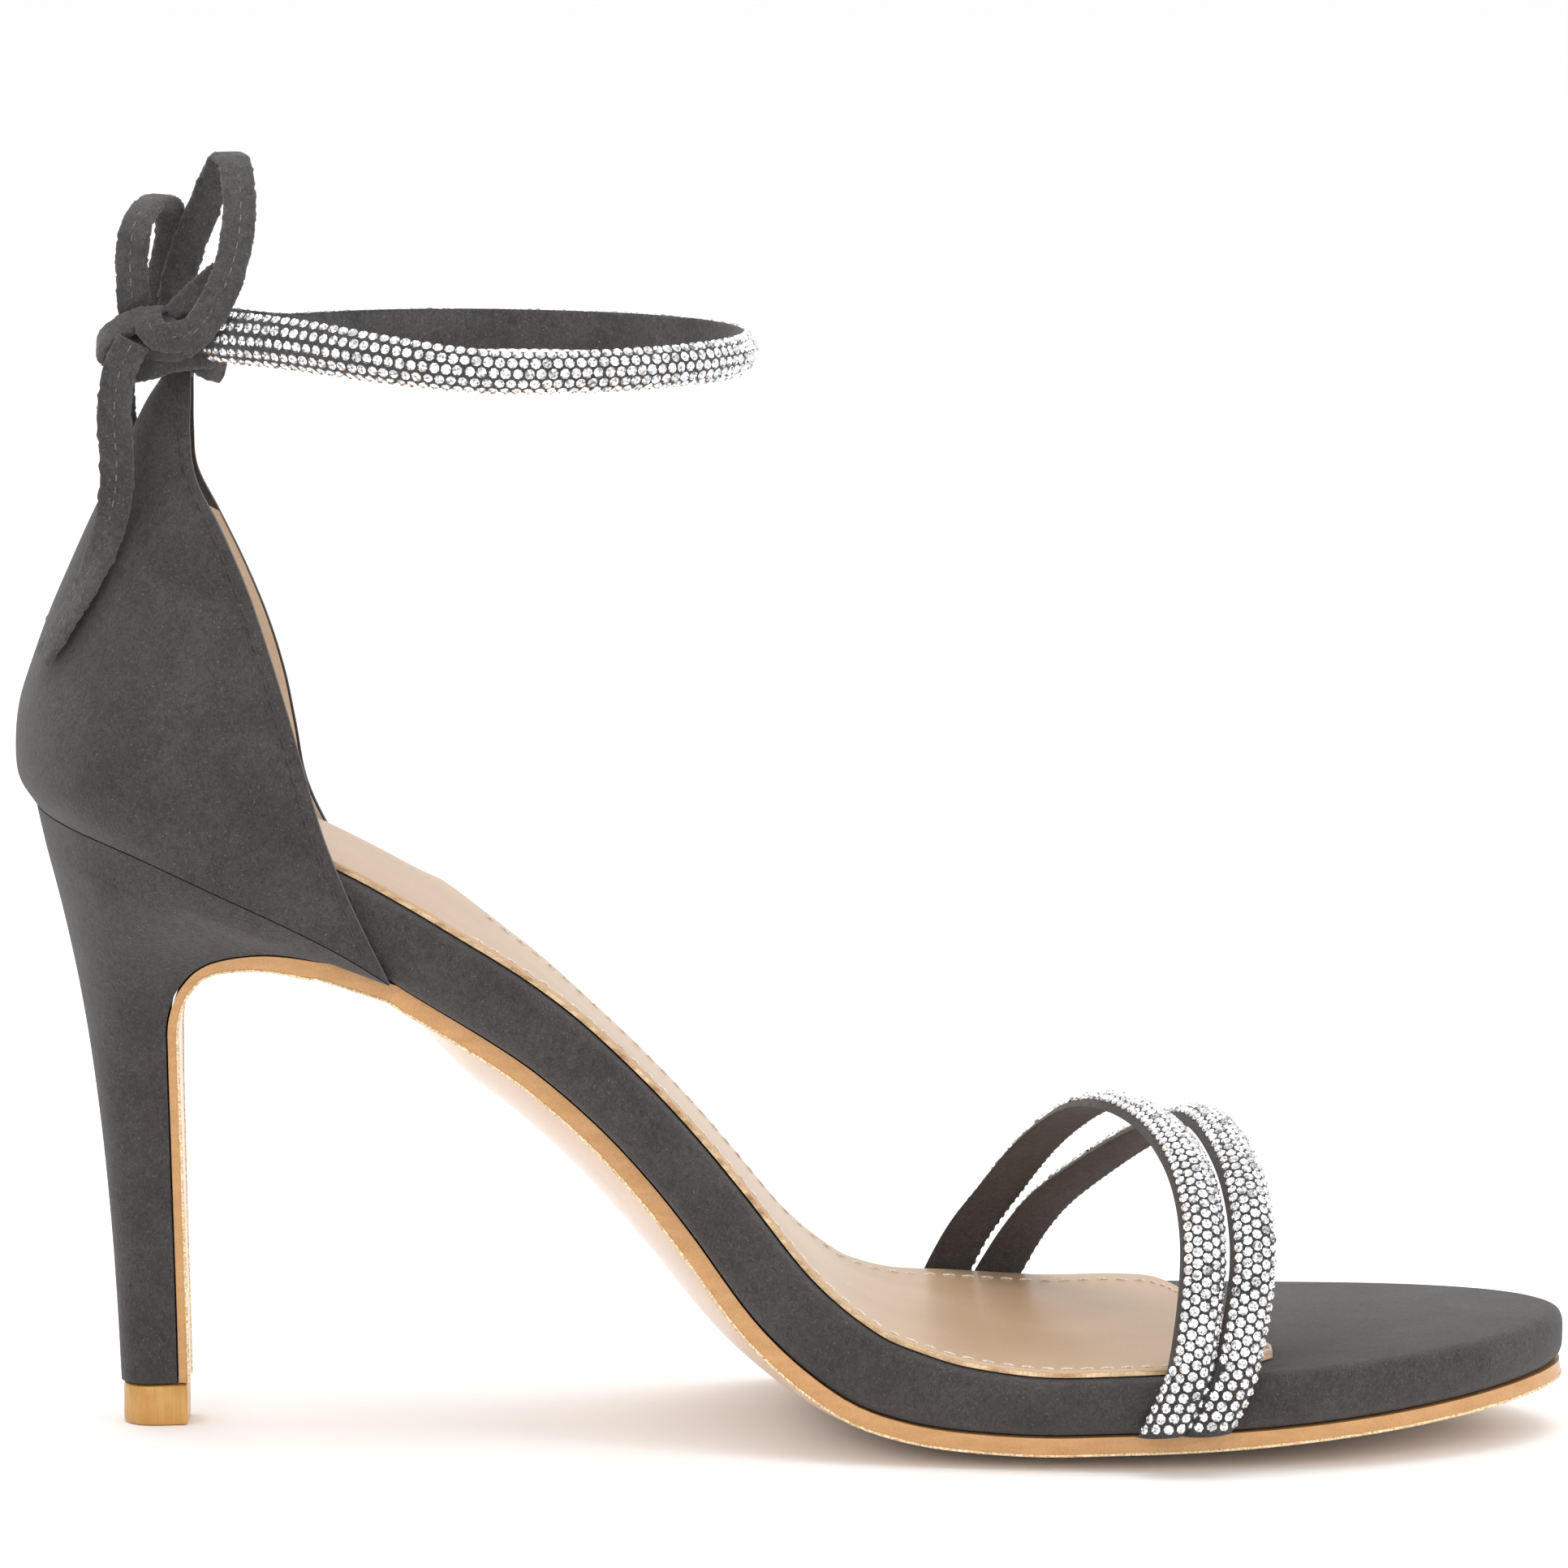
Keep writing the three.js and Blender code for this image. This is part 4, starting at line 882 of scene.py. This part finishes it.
def make_sock(leather, cut):
    levels = ((0, 0), (0, 0.62), (0.1, 0.86), (0.3, 0.98), (0.6, 1))
    count = len(sock_sides(levels[-1][0]))
    rings = []
    for inset, height in levels:
        sides = sock_sides(inset)[:count]
        n = CLEARANCE + SOCK_THICKNESS * height
        rings.append(sole_ring(sides, lambda x, y: sole_point(x, y, n)))
    shape = Shape()
    shape.skin(rings)
    shape.slots[:2 * count] = [1] * (2 * count)
    make_piece("insole_sock", shape, [leather, cut], 40, ["insole"])


def make_sock_stitches(thread):
    """Stitch line inside the sock's edge: down the near side, back along the front and the far side."""
    start_x = 45
    n = CLEARANCE + SOCK_THICKNESS
    near_line = [(x, near) for x, near, _ in sock_sides(SOCK_NEAR_STITCH) if x > start_x]
    far_line = [(x, far) for x, _, far in sock_sides(SOCK_FAR_STITCH) if x > start_x]
    line = near_line + far_line[::-1]
    path = [sole_point(x, y, n) for x, y in line]
    ups = [(sole_point(x, y, n + 1) - point).normalized() for (x, y), point in zip(line, path)]
    shape = Shape()
    add_stitches(shape, path, ups, SOCK_STITCH_RADIUS)
    make_piece("insole_stitches", shape, [thread])


def outsole_section(place, out, near, far, edge, crown):
    """Section of the outsole, with a share across or a half width for each point, and its depth."""
    bevel = 0.2 * edge
    corner = [(0, 0), (0, 0.4 * edge), (0, edge - bevel), (0.3 * bevel, edge - 0.3 * bevel), (bevel, edge)]
    crowned = [i / 12 for i in range(1, 12)]
    line = [(near + y, down) for y, down in corner]
    line += [(mix(near + bevel, far - bevel, s), edge + crown * (1 - (2 * s - 1) ** 2)) for s in crowned]
    line += [(far - y, down) for y, down in reversed(corner)]
    line += [(mix(far, near, 0.33), 0), (mix(far, near, 0.67), 0)]
    return [place(y) + out * down for y, down in line]


def sole_rings():
    waist_round = 20
    crown_reach = 18
    rings = []
    for x in sole_stations(-OUTSOLE_INSET):
        if x <= RIM_FRONT + 0.5:
            continue
        waist = smooth((WAIST_SHARES["end"] - share_of(x)) / (WAIST_SHARES["end"] - WAIST_SHARES["start"]))
        near, far = edges(x, -OUTSOLE_INSET)
        inset = waist * (WAIST_INSET - OUTSOLE_INSET)
        crown = min(1, (far - near) / 2 / waist_round) * mix(BALL_CROWN, OUTSOLE_CROWN, waist)
        crown *= mix(FLAP_CROWN, 1, smooth((x - RIM_FRONT) / crown_reach))
        toe = smooth((share_of(x) - TOE_SHARES["start"]) / (TOE_SHARES["end"] - TOE_SHARES["start"]))
        edge = mix(OUTSOLE_THICKNESS * (1 - TOE_THINNING * toe), WAIST_EDGE, waist)
        out = Vector((-math.sin(lean(x)), 0, -math.cos(lean(x))))
        near, far = near + inset, far - inset
        rings.append(outsole_section(lambda y: seat_point(x, y, CLEARANCE), out, near, far, edge, crown))
    return rings


def heel_ends(at):
    """Back and front end of a heel section."""
    back = Vector((mix(-TIP_LENGTH / 2, SEAM_BACK.x, read(HEEL_ROWS, "back", at)), 0,
                   mix(STEM_BOTTOM, SEAM_BACK.z, read(HEEL_ROWS, "back_up", at))))
    front = Vector((mix(STEM_LENGTH - TIP_LENGTH / 2, SEAM_FRONT.x, read(HEEL_ROWS, "front", at)), 0,
                    mix(STEM_BOTTOM, SEAM_FRONT.z, read(HEEL_ROWS, "front_up", at))))
    return back, front


def flap_rings():
    """Rings of the flap that covers the heel's breast, from the seat down to the tip."""
    thinning = 3.2
    steps = 64
    joint_rings = 5
    widest = WAIST_WIDTH / 2 - WAIST_INSET
    breast = [SEAM_FRONT.copy()] + [heel_ends(1 - i / steps)[1] for i in range(steps + 1)]
    joint_half = -edges(RIM_FRONT, -OUTSOLE_INSET)[0] - WAIST_INSET + OUTSOLE_INSET
    halves = [widest]
    for i in range(steps + 1):
        at = 1 - i / steps
        half = read(HEEL_ROWS, "half", at) * (1 - read(HEEL_ROWS, "taper", at)) * (SEAT_WIDTH / 2 + RIM_GROW)
        halves.append(min(half - CLEARANCE, widest))
    rings = []
    for i, (point, half) in enumerate(zip(breast, halves)):
        along = (breast[min(steps + 1, i + 1)] - breast[max(0, i - 1)]).normalized()
        out = Vector((-along.z, 0, along.x))
        joint = Vector((-math.sin(lean(RIM_FRONT)), 0, -math.cos(lean(RIM_FRONT))))
        out = joint.lerp(out, smooth(i / joint_rings)).normalized()
        half = mix(joint_half, half, smooth(i / joint_rings / 2))
        thinned = smooth(thinning * i / steps)
        edge = mix(WAIST_EDGE, FLAP_THICKNESS, thinned)
        crown = FLAP_CROWN * OUTSOLE_CROWN * (1 - thinned)
        base = point + out * CLEARANCE
        rings.append(outsole_section(lambda y: base + Vector((0, y, 0)), out, -half, half, edge, crown))
    return rings


def make_outsole(edge, bottom, gilt):
    rings = sole_rings()[::-1] + flap_rings()
    for ring in rings:
        for point in ring:
            point.z = max(0, point.z)
    count = len(rings[0])
    corner = 5
    slots = [0] * (corner - 1) + [1] * (count - 2 * corner - 1) + [0] * (corner + 2)
    shape = Shape()
    shape.skin(rings, slots, caps="flat")
    make_piece("outsole_leather", shape, [edge, bottom], 32, ["outsole"])

    line = Shape()
    wide = 0.24
    for k in (corner - 2, count - 2 - corner + 1):
        points = [ring[k] for ring in rings]
        middle = [sum(ring, Vector()) / count for ring in rings]
        faces = [(p - m).normalized() for p, m in zip(points, middle)]
        frames = path_frames(points, faces)
        section = [(math.cos(math.pi * i / 3), math.sin(math.pi * i / 3)) for i in range(6)]
        sweep(line, frames, wide, wide, section)
    for point in line.points:
        point.z = max(0, point.z)
    make_piece("outsole_gilt_line", line, [gilt], 60)


# Heel

def mirror_ring(side):
    return [Vector((x, -y, z)) for x, y, z in side] + [Vector((x, y, z)) for x, y, z in reversed(side)]


def make_heel(material):
    round_share = 0.52
    steps = 60
    rings = []
    for i in range(steps + 1):
        at = i / steps
        back, front = heel_ends(at)
        half = read(HEEL_ROWS, "half", at) * (SEAT_WIDTH / 2 + RIM_GROW)
        side = []
        for q in rim_shares():
            rounded = math.sqrt(1 - max(0, 1 - q / round_share) ** 2)
            taper = 1 - read(HEEL_ROWS, "taper", at) * smooth(2 * q - 1)
            side.append((mix(back.x, front.x, q), half * rounded * taper, mix(back.z, front.z, q)))
        rings.append(mirror_ring(side))
    xs = [mix(RIM_BACK, RIM_FRONT, q) for q in rim_shares()]
    rim = [(x, *edges(x, RIM_GROW)) for x in xs]
    rings.append(sole_ring(rim, lambda x, y: seat_point(x, y, CLEARANCE)))
    shape = Shape()
    shape.skin(rings)
    make_piece("heel_cover", shape, [material], 45, ["heel"])


def make_tip(material):
    round_share = 0.45
    taper = 0.1
    bevel = 0.5
    levels = [(0, bevel), (0.15, 0.15), (bevel, 0), (TIP_HEIGHT / 2, 0)]
    levels += [(TIP_HEIGHT - z, inset) for z, inset in reversed(levels[:3])]
    rings = []
    for z, inset in levels:
        side = []
        for q in rim_shares():
            rounded = math.sqrt(1 - max(0, 1 - q / round_share) ** 2)
            half = (TIP_WIDTH / 2 - inset) * rounded * (1 - taper * smooth(2 * q - 1))
            side.append((mix(inset - TIP_LENGTH / 2, TIP_LENGTH / 2 - inset, q), half, z))
        rings.append(mirror_ring(side))
    shape = Shape()
    shape.skin(rings)
    make_piece("heel_top_piece", shape, [material], 40, ["heel_tip"])


# Counter

def counter_point(at, q, inset, side):
    """A point of the counter's wall: "at" up its height and "q" from its back to its front."""
    bow_end = 0.4
    back_up = read(COUNTER_ROWS, "back_up", at)
    full_half = SEAT_WIDTH / 2 + CLEARANCE + COUNTER_EASE + COUNTER_WALL
    back = mix(SEAM_BACK.x, TAB_SETBACK, read(COUNTER_ROWS, "back", at))
    front = mix(SEAM_FRONT.x, TAB_SETBACK + TAB_LENGTH, read(COUNTER_ROWS, "front", at))
    if side > 0:
        front -= OUTER_WING * read(COUNTER_ROWS, "wing", at)
    seat_x = mix(RIM_BACK, RIM_FRONT, q)
    base_back, base, base_front = [
        seat_point(x, edges(x, RIM_GROW)[0], 0) for x in (RIM_BACK, seat_x, RIM_FRONT)]
    widest = mix(TAB_WIDTH / 2, full_half, read(COUNTER_ROWS, "half", at))
    reach = edges(seat_x, RIM_GROW)[1] / (SEAT_WIDTH / 2 + RIM_GROW)
    oval = math.sqrt(1 - (1 - q) ** 2)
    bow = max(0, 1 - back_up / bow_end)
    x = mix(back + inset, front, q) + bow * (base.x - mix(base_back.x, base_front.x, q))
    low = mix(SEAM_BACK.z, TAB_TOP, back_up)
    high = mix(base_front.z, TAB_TOP, read(COUNTER_ROWS, "front_up", at))
    z = mix(low, high, q) + bow * (base.z - mix(base_back.z, base_front.z, q))
    return Vector((x, side * (widest - inset) * mix(reach, oval, read(COUNTER_ROWS, "round", at)), z))


def make_counter(suede, lining):
    steps = 72
    lining_end = 0.66
    shares = rim_shares()[:-1] + [0.99, 1]
    count = len(shares)
    rings = []
    for i in range(steps + 1):
        at = i / steps
        walls = []
        for inset in (0, COUNTER_WALL):
            near = [counter_point(at, q, inset, -1) for q in reversed(shares)]
            walls.append(near + [counter_point(at, q, inset, 1) for q in shares])
        rings.append(walls[0] + walls[1][::-1])
    slots = [0] * (2 * count) + [1] * (2 * count)
    for k in (2 * count, -2, -1):
        slots[k] = 0
    shape = Shape()
    shape.skin(rings, slots)
    first_dark = round(lining_end * steps) * len(slots)
    shape.slots[first_dark:] = [0] * (len(shape.slots) - first_dark)
    make_piece("counter_cover", shape, [suede, lining], 45, ["counter"])


def make_counter_stitches(thread):
    """Stitch lines inside the counter's front edges."""
    shape = Shape()
    steps = 90
    for side in (-1, 1):
        path = []
        ups = []
        for i in range(steps + 1):
            at = mix(0.03, 0.97, i / steps)
            reach = (counter_point(at, 1, 0, side) - counter_point(at, 0, 0, side)).length
            q = 1 - min(0.45, STITCH_INSET / reach)
            point = counter_point(at, q, 0, side)
            across = counter_point(at, q + 0.04, 0, side) - point
            along = counter_point(min(1, at + 0.02), q, 0, side) - counter_point(at - 0.02, q, 0, side)
            up = along.cross(across).normalized()
            if up.y * side < 0:
                up = -up
            path.append(point + up * 0.05)
            ups.append(up)
        add_stitches(shape, path, ups, COUNTER_STITCH_RADIUS)
    make_piece("counter_stitches", shape, [thread])


# Stoned straps

def strap_surface(frame, width, thick, angle):
    """Point and normal of a strap's crowned face, at an angle from its middle line."""
    point, _, side, out = frame
    radius = width / 2 / math.sin(STRAP_ARC)
    top = thick / 2 - STONE_LIFT / 2
    place = point + side * (radius * math.sin(angle)) + out * (top - radius * (1 - math.cos(angle)))
    return place, side * math.sin(angle) + out * math.cos(angle)


def joint_height(point):
    """Height of the joint of footbed and outsole beside a point."""
    side = 0 if point.y < 0 else 1
    return seat_point(point.x, edges(point.x, 0)[side], 0).z


def add_strap(shape, frames, widths, thick):
    """Suede band with a crowned outer face and a flat inner one."""
    arc_steps = 16
    rings = []
    for frame, width in zip(frames, widths):
        point, _, side, out = frame
        arc = [mix(-STRAP_ARC, STRAP_ARC, i / arc_steps) for i in range(arc_steps + 1)]
        ring = [strap_surface(frame, width, thick, a)[0] for a in arc]
        for u, v in ((0.48, -0.42), (0.42, -0.5), (0, -0.5), (-0.42, -0.5), (-0.48, -0.42)):
            ring.append(point + side * (u * width) + out * (v * thick))
        rings.append(ring)
    shape.skin(rings, caps="flat")


def add_stone(shape, place, normal, along, size):
    """Faceted stone: eight sides, a crown, a faintly stepped table; random facets get painted shade."""
    sides = 8
    tilt = Vector([rng.uniform(-0.08, 0.08) for _ in range(3)])
    normal = (normal + tilt).normalized()
    across = normal.cross(along).normalized()
    along = across.cross(normal)
    turn = rng.uniform(0, math.pi)
    levels = ((0.5, -0.08, 0, 0), (0.5, 0.14, 0, 0), (0.29, 0.4, 0.5, 0.04))
    points = []
    for radius, height, shift, step in levels:
        for k in range(sides):
            angle = turn + 2 * math.pi * (k + shift) / sides
            spread = (along * math.cos(angle) + across * math.sin(angle)) * (radius * size)
            points.append(place + spread + normal * (height + (step if k % 2 else -step)))
    points.append(place + normal * 0.34)
    faces = [list(range(sides))]
    for k in range(sides):
        after = (k + 1) % sides
        faces.append([k, after, sides + after, sides + k])
        faces.append([sides + k, sides + after, 2 * sides + k])
        faces.append([sides + after, 2 * sides + after, 2 * sides + k])
        faces.append([2 * sides + k, 2 * sides + after, 3 * sides])
    # Slot 1 is the darker crystal: painted shade on facets picked at random
    shape.add(points, faces, [1 if rng.random() < PAINTED_SHADE_FACETS else 0 for _ in faces])


def add_stones(shape, frames, widths, thick, placed, starts=(0,) * STONE_ROWS, border=0):
    """Rows of stones along a strap. Stones that would touch one of the other strap's are left out."""
    others = list(placed)
    foot_reach = 5
    lengths = line_lengths([frame[0] for frame in frames])
    for row in range(STONE_ROWS):
        goal = starts[row] + STONE_PITCH * (0.5 + 0.5 * (row % 2))
        while goal < lengths[-1] - 0.3 * STONE_PITCH:
            k, _ = find_place(lengths, goal)
            frame, width = frames[k], widths[k]
            radius = width / 2 / math.sin(STRAP_ARC)
            edge = border * smooth((goal - 2 * foot_reach) / foot_reach)
            low = (STONE_SIZE / 2 + edge) / radius - STRAP_ARC
            high = STRAP_ARC - 0.4 * STONE_SIZE / radius
            place, normal = strap_surface(frame, width, thick, mix(low, high, row / (STONE_ROWS - 1)))
            place = place + frame[1] * (goal - lengths[k] + rng.uniform(-STONE_SCATTER, STONE_SCATTER))
            free = all((place - other).length > 0.8 * STONE_PITCH for other in others)
            if free and (not border or place.z > joint_height(place) + 0.3 * STONE_SIZE):
                size = STONE_SIZE * rng.uniform(1 - STONE_SPREAD, 1 + STONE_SPREAD)
                add_stone(shape, place, normal, frame[1], size)
                placed.append(place)
            goal += STONE_PITCH


def toe_strap_frames(table, feet):
    smoothing = 12
    lift = CLEARANCE + STRAP_EASE + STRAP_THICKNESS / 2

    def foot(side, row):
        x = row["at"] * SOLE_LENGTH - SEAT_SETBACK
        return sole_point(x, edges(x, lift)[side], -row["deep"] * thickness(x))

    arch = []
    for row in table:
        x = row["at"] * SOLE_LENGTH - SEAT_SETBACK
        arch.append(Vector((x, row["across"] * BALL_WIDTH / 2, top_height(x) + row["rise"] * STRAP_RISE)))
    points = [foot(0, row) for row in feet["near"]] + arch + [foot(1, row) for row in feet["far"]]
    points = [2 * points[0] - points[1]] + points + [2 * points[-1] - points[-2]]
    points = [point for point, _ in spaced(catmull(points), STRAP_STEP)]
    for _ in range(smoothing):
        ends = zip(points, points[1:], points[2:])
        points = [points[0]] + [(a + b * 2 + c) / 4 for a, b, c in ends] + [points[-1]]
    faces = []
    for i in range(len(points)):
        along = points[min(len(points) - 1, i + 1)] - points[max(0, i - 1)]
        faces.append(Vector((1, 0, 0)).cross(along).normalized())
    return path_frames(points, faces)


def make_toe_straps(suede, crystal):
    bands = Shape()
    stones = Shape()
    placed = []
    for table, feet in ((REAR_STRAP, REAR_FEET), (FRONT_STRAP, FRONT_FEET)):
        frames = toe_strap_frames(table, feet)
        widths = [STRAP_WIDTH] * len(frames)
        add_strap(bands, frames, widths, STRAP_THICKNESS)
        add_stones(stones, frames, widths, STRAP_THICKNESS, placed, border=TOE_STRAP_BORDER)
    for point in bands.points:
        point.z = max(point.z, joint_height(point) + 0.1)
    make_piece("toe_strap_bands", bands, [suede], 50, ["toe_straps"])
    make_piece("toe_strap_stones", stones, crystal, flat=True)


def ankle_frames():
    end_angle = math.radians(160)
    outer_start = 0.8
    steps = 300
    back_x = TAB_MIDDLE + ANKLE_AHEAD + ANKLE_BAND_THICKNESS / 2
    front_z = TAB_TOP + ANKLE_GAP + ANKLE_END_WIDTH / 2 - ANKLE_BACK_RISE
    points = []
    faces = []
    widths = []
    for i in range(steps + 1):
        share = 2 * i / steps - 1
        angle = share * end_angle
        back = smooth((abs(share) - 0.45) / 0.4)
        narrow = 1 - ANKLE_NARROWING * smooth(2 * abs(share) - 1)
        x = back_x + ANKLE_LENGTH / 2 * (1 + math.cos(angle)) - ANKLE_BAND_THICKNESS
        y = ANKLE_WIDTH / 2 * narrow * math.sin(angle)
        outer = smooth((share - outer_start) / (1 - outer_start))
        rise = ANKLE_BACK_RISE * back if share < 0 else ANKLE_OUTER_RISE * outer
        points.append(Vector((x, y, front_z + rise)))
        faces.append(Vector((math.cos(angle) / ANKLE_LENGTH, math.sin(angle) / ANKLE_WIDTH, 0)).normalized())
        widths.append(mix(ANKLE_BAND_WIDTH, ANKLE_END_WIDTH, back))
    return path_frames(points, faces), widths


def make_ankle_strap(suede, crystal):
    frames, widths = ankle_frames()
    bands = Shape()
    add_strap(bands, frames, widths, ANKLE_BAND_THICKNESS)
    stones = Shape()
    slant = [STONE_PITCH * ((STONE_ROWS - row) // 2) for row in range(STONE_ROWS)]
    add_stones(stones, frames, widths, ANKLE_BAND_THICKNESS, [], slant)
    make_piece("ankle_strap_band", bands, [suede], 50, ["ankle_strap"])
    make_piece("ankle_strap_stones", stones, crystal, flat=True)


# Tie

def ribbon_section():
    """Flat band of two layers, with soft edges and a shallow groove under the stitches."""
    sides = 24
    section = []
    for k in range(sides):
        angle = 2 * math.pi * (k + 0.5) / sides
        c, s = math.cos(angle), math.sin(angle)
        u = math.copysign(abs(c) ** 0.45, c) / 2
        v = math.copysign(abs(s) ** 0.8, s) / 2
        groove = 0.12 * math.exp(-((u / 0.07) ** 2))
        section.append((u, v - math.copysign(groove, v)))
    return section


def roughen(shape, amount, size):
    """Moves the points a little, as suede's fuzzy cut edges do."""
    for point in shape.points:
        place = point / size
        point += Vector([noise.noise(place + shift) for shift in NOISE_SHIFTS]) * amount


def make_ribbon(name, frames, suede, nodes=(), width=TIE_WIDTH):
    shape = Shape()
    sweep(shape, frames, width, TIE_THICKNESS, ribbon_section())
    roughen(shape, SUEDE_FUZZ, 0.6)
    return make_piece(name, shape, [suede], 60, nodes)


def make_ribbon_stitches(name, frames, thread):
    shape = Shape()
    path = [point + out * (0.42 * TIE_THICKNESS) for point, _, _, out in frames]
    ups = [out for _, _, _, out in frames]
    add_stitches(shape, path, ups, TIE_STITCH_RADIUS, TIE_STITCH_LENGTH, TIE_STITCH_GAP)
    return make_piece(name, shape, [thread])


def make_tie(suede, thread):
    base = Vector((TAB_MIDDLE + TIE_AHEAD, 0, TAB_TOP))
    knot = make_knot(base, suede, thread)
    routes = (
        ("tie_loop_small", SMALL_LOOP, "object"),
        ("tie_loop_large", LARGE_LOOP, "object"),
        ("tie_end_near", NEAR_END, "bare"),
        ("tie_end_far", FAR_END, "bare"),
    )
    for node, table, far_end in routes:
        frames = table_route(table, base)
        ribbon = make_ribbon(node + "_ribbon", frames, suede, [node])
        stitches = make_ribbon_stitches(node + "_stitches", frames, thread)


def make_knot(base, suede, thread):
    """The knot: bands that wrap and fold over a core."""
    pieces = []
    for name, table in KNOT_BANDS.items():
        frames = table_route(table, base)
        pieces.append(make_ribbon(name, frames, suede, ["tie_knot"] if not pieces else (), KNOT_BAND_WIDTH))
        if name == "knot_wrap":
            pieces.append(make_ribbon_stitches(name + "_stitches", frames, thread))
    core = Shape()
    rings = []
    for i in range(1, 16):
        polar = math.pi * i / 16
        ring = []
        for k in range(24):
            angle = 2 * math.pi * k / 24
            ring.append(base + Vector((
                KNOT_CORE["x"] + KNOT_CORE["long"] * math.cos(polar),
                KNOT_CORE["y"] + KNOT_CORE["deep"] * math.sin(polar) * math.cos(angle),
                KNOT_CORE["z"] + KNOT_CORE["high"] * math.sin(polar) * math.sin(angle))))
        rings.append(ring)
    core.skin(rings, caps="flat")
    roughen(core, SUEDE_FUZZ, 2.2)
    pieces.append(make_piece("knot_core", core, [suede], 60))
    return pieces


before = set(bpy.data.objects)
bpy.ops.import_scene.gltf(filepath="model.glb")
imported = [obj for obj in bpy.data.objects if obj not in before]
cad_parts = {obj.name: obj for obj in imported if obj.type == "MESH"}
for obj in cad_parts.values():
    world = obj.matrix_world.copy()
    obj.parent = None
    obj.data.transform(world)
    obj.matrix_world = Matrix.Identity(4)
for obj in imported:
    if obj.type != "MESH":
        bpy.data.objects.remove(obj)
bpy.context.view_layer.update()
make_camera()

suede = suede_material("suede", (0.041, 0.037, 0.036), (0.063, 0.057, 0.056), (0, 0.5, 0))
suede_tie = suede_material("suede_tie", (0.05, 0.047, 0.046), (0.08, 0.075, 0.073), (0, 0.9, 0.4))
sock_leather = leather_material("sock_leather", (0.455, 0.3, 0.178), (0.525, 0.36, 0.228), 0.4, 0.14)
lining = leather_material("counter_lining", (0.74, 0.61, 0.48), (0.84, 0.71, 0.58), 0.5, 0.05)
sole_edge = edge_material("sole_edge", (0.5, 0.25, 0.085), (0.58, 0.31, 0.12), 0.35, 0.1)
sock_edge = edge_material("sock_edge", (0.34, 0.18, 0.07), (0.75, 0.55, 0.33), 0.4, 0.25)
sole_bottom = leather_material("sole_bottom", (0.64, 0.45, 0.32), (0.74, 0.54, 0.4), 0.28, 0.3)
cream = thread_material("cream_thread", (0.5, 0.42, 0.34), (0.78, 0.72, 0.62))
dark_thread = thread_material("dark_thread", (0.012, 0.011, 0.011), (0.04, 0.035, 0.034))
grey_thread = thread_material("grey_thread", (0.1, 0.095, 0.092), (0.2, 0.19, 0.185))
crystal = [
    stone_material("crystal", (0.5, 0.5, 0.52), (1, 1, 1)),
    # Darker copy of the crystal: painted shade for facets that would reflect dark surroundings
    stone_material("crystal_painted_shade", (0.1, 0.1, 0.11), (0.36, 0.37, 0.39)),
]

make_tie(suede_tie, grey_thread)
make_footbed(suede)
make_sock(sock_leather, sock_edge)
make_sock_stitches(cream)
make_outsole(sole_edge, sole_bottom, gilt_material())
make_heel(suede)
make_tip(tip_material())
make_counter(suede, lining)
make_counter_stitches(dark_thread)
make_toe_straps(suede, crystal)
make_ankle_strap(suede_tie, crystal)
make_stage()
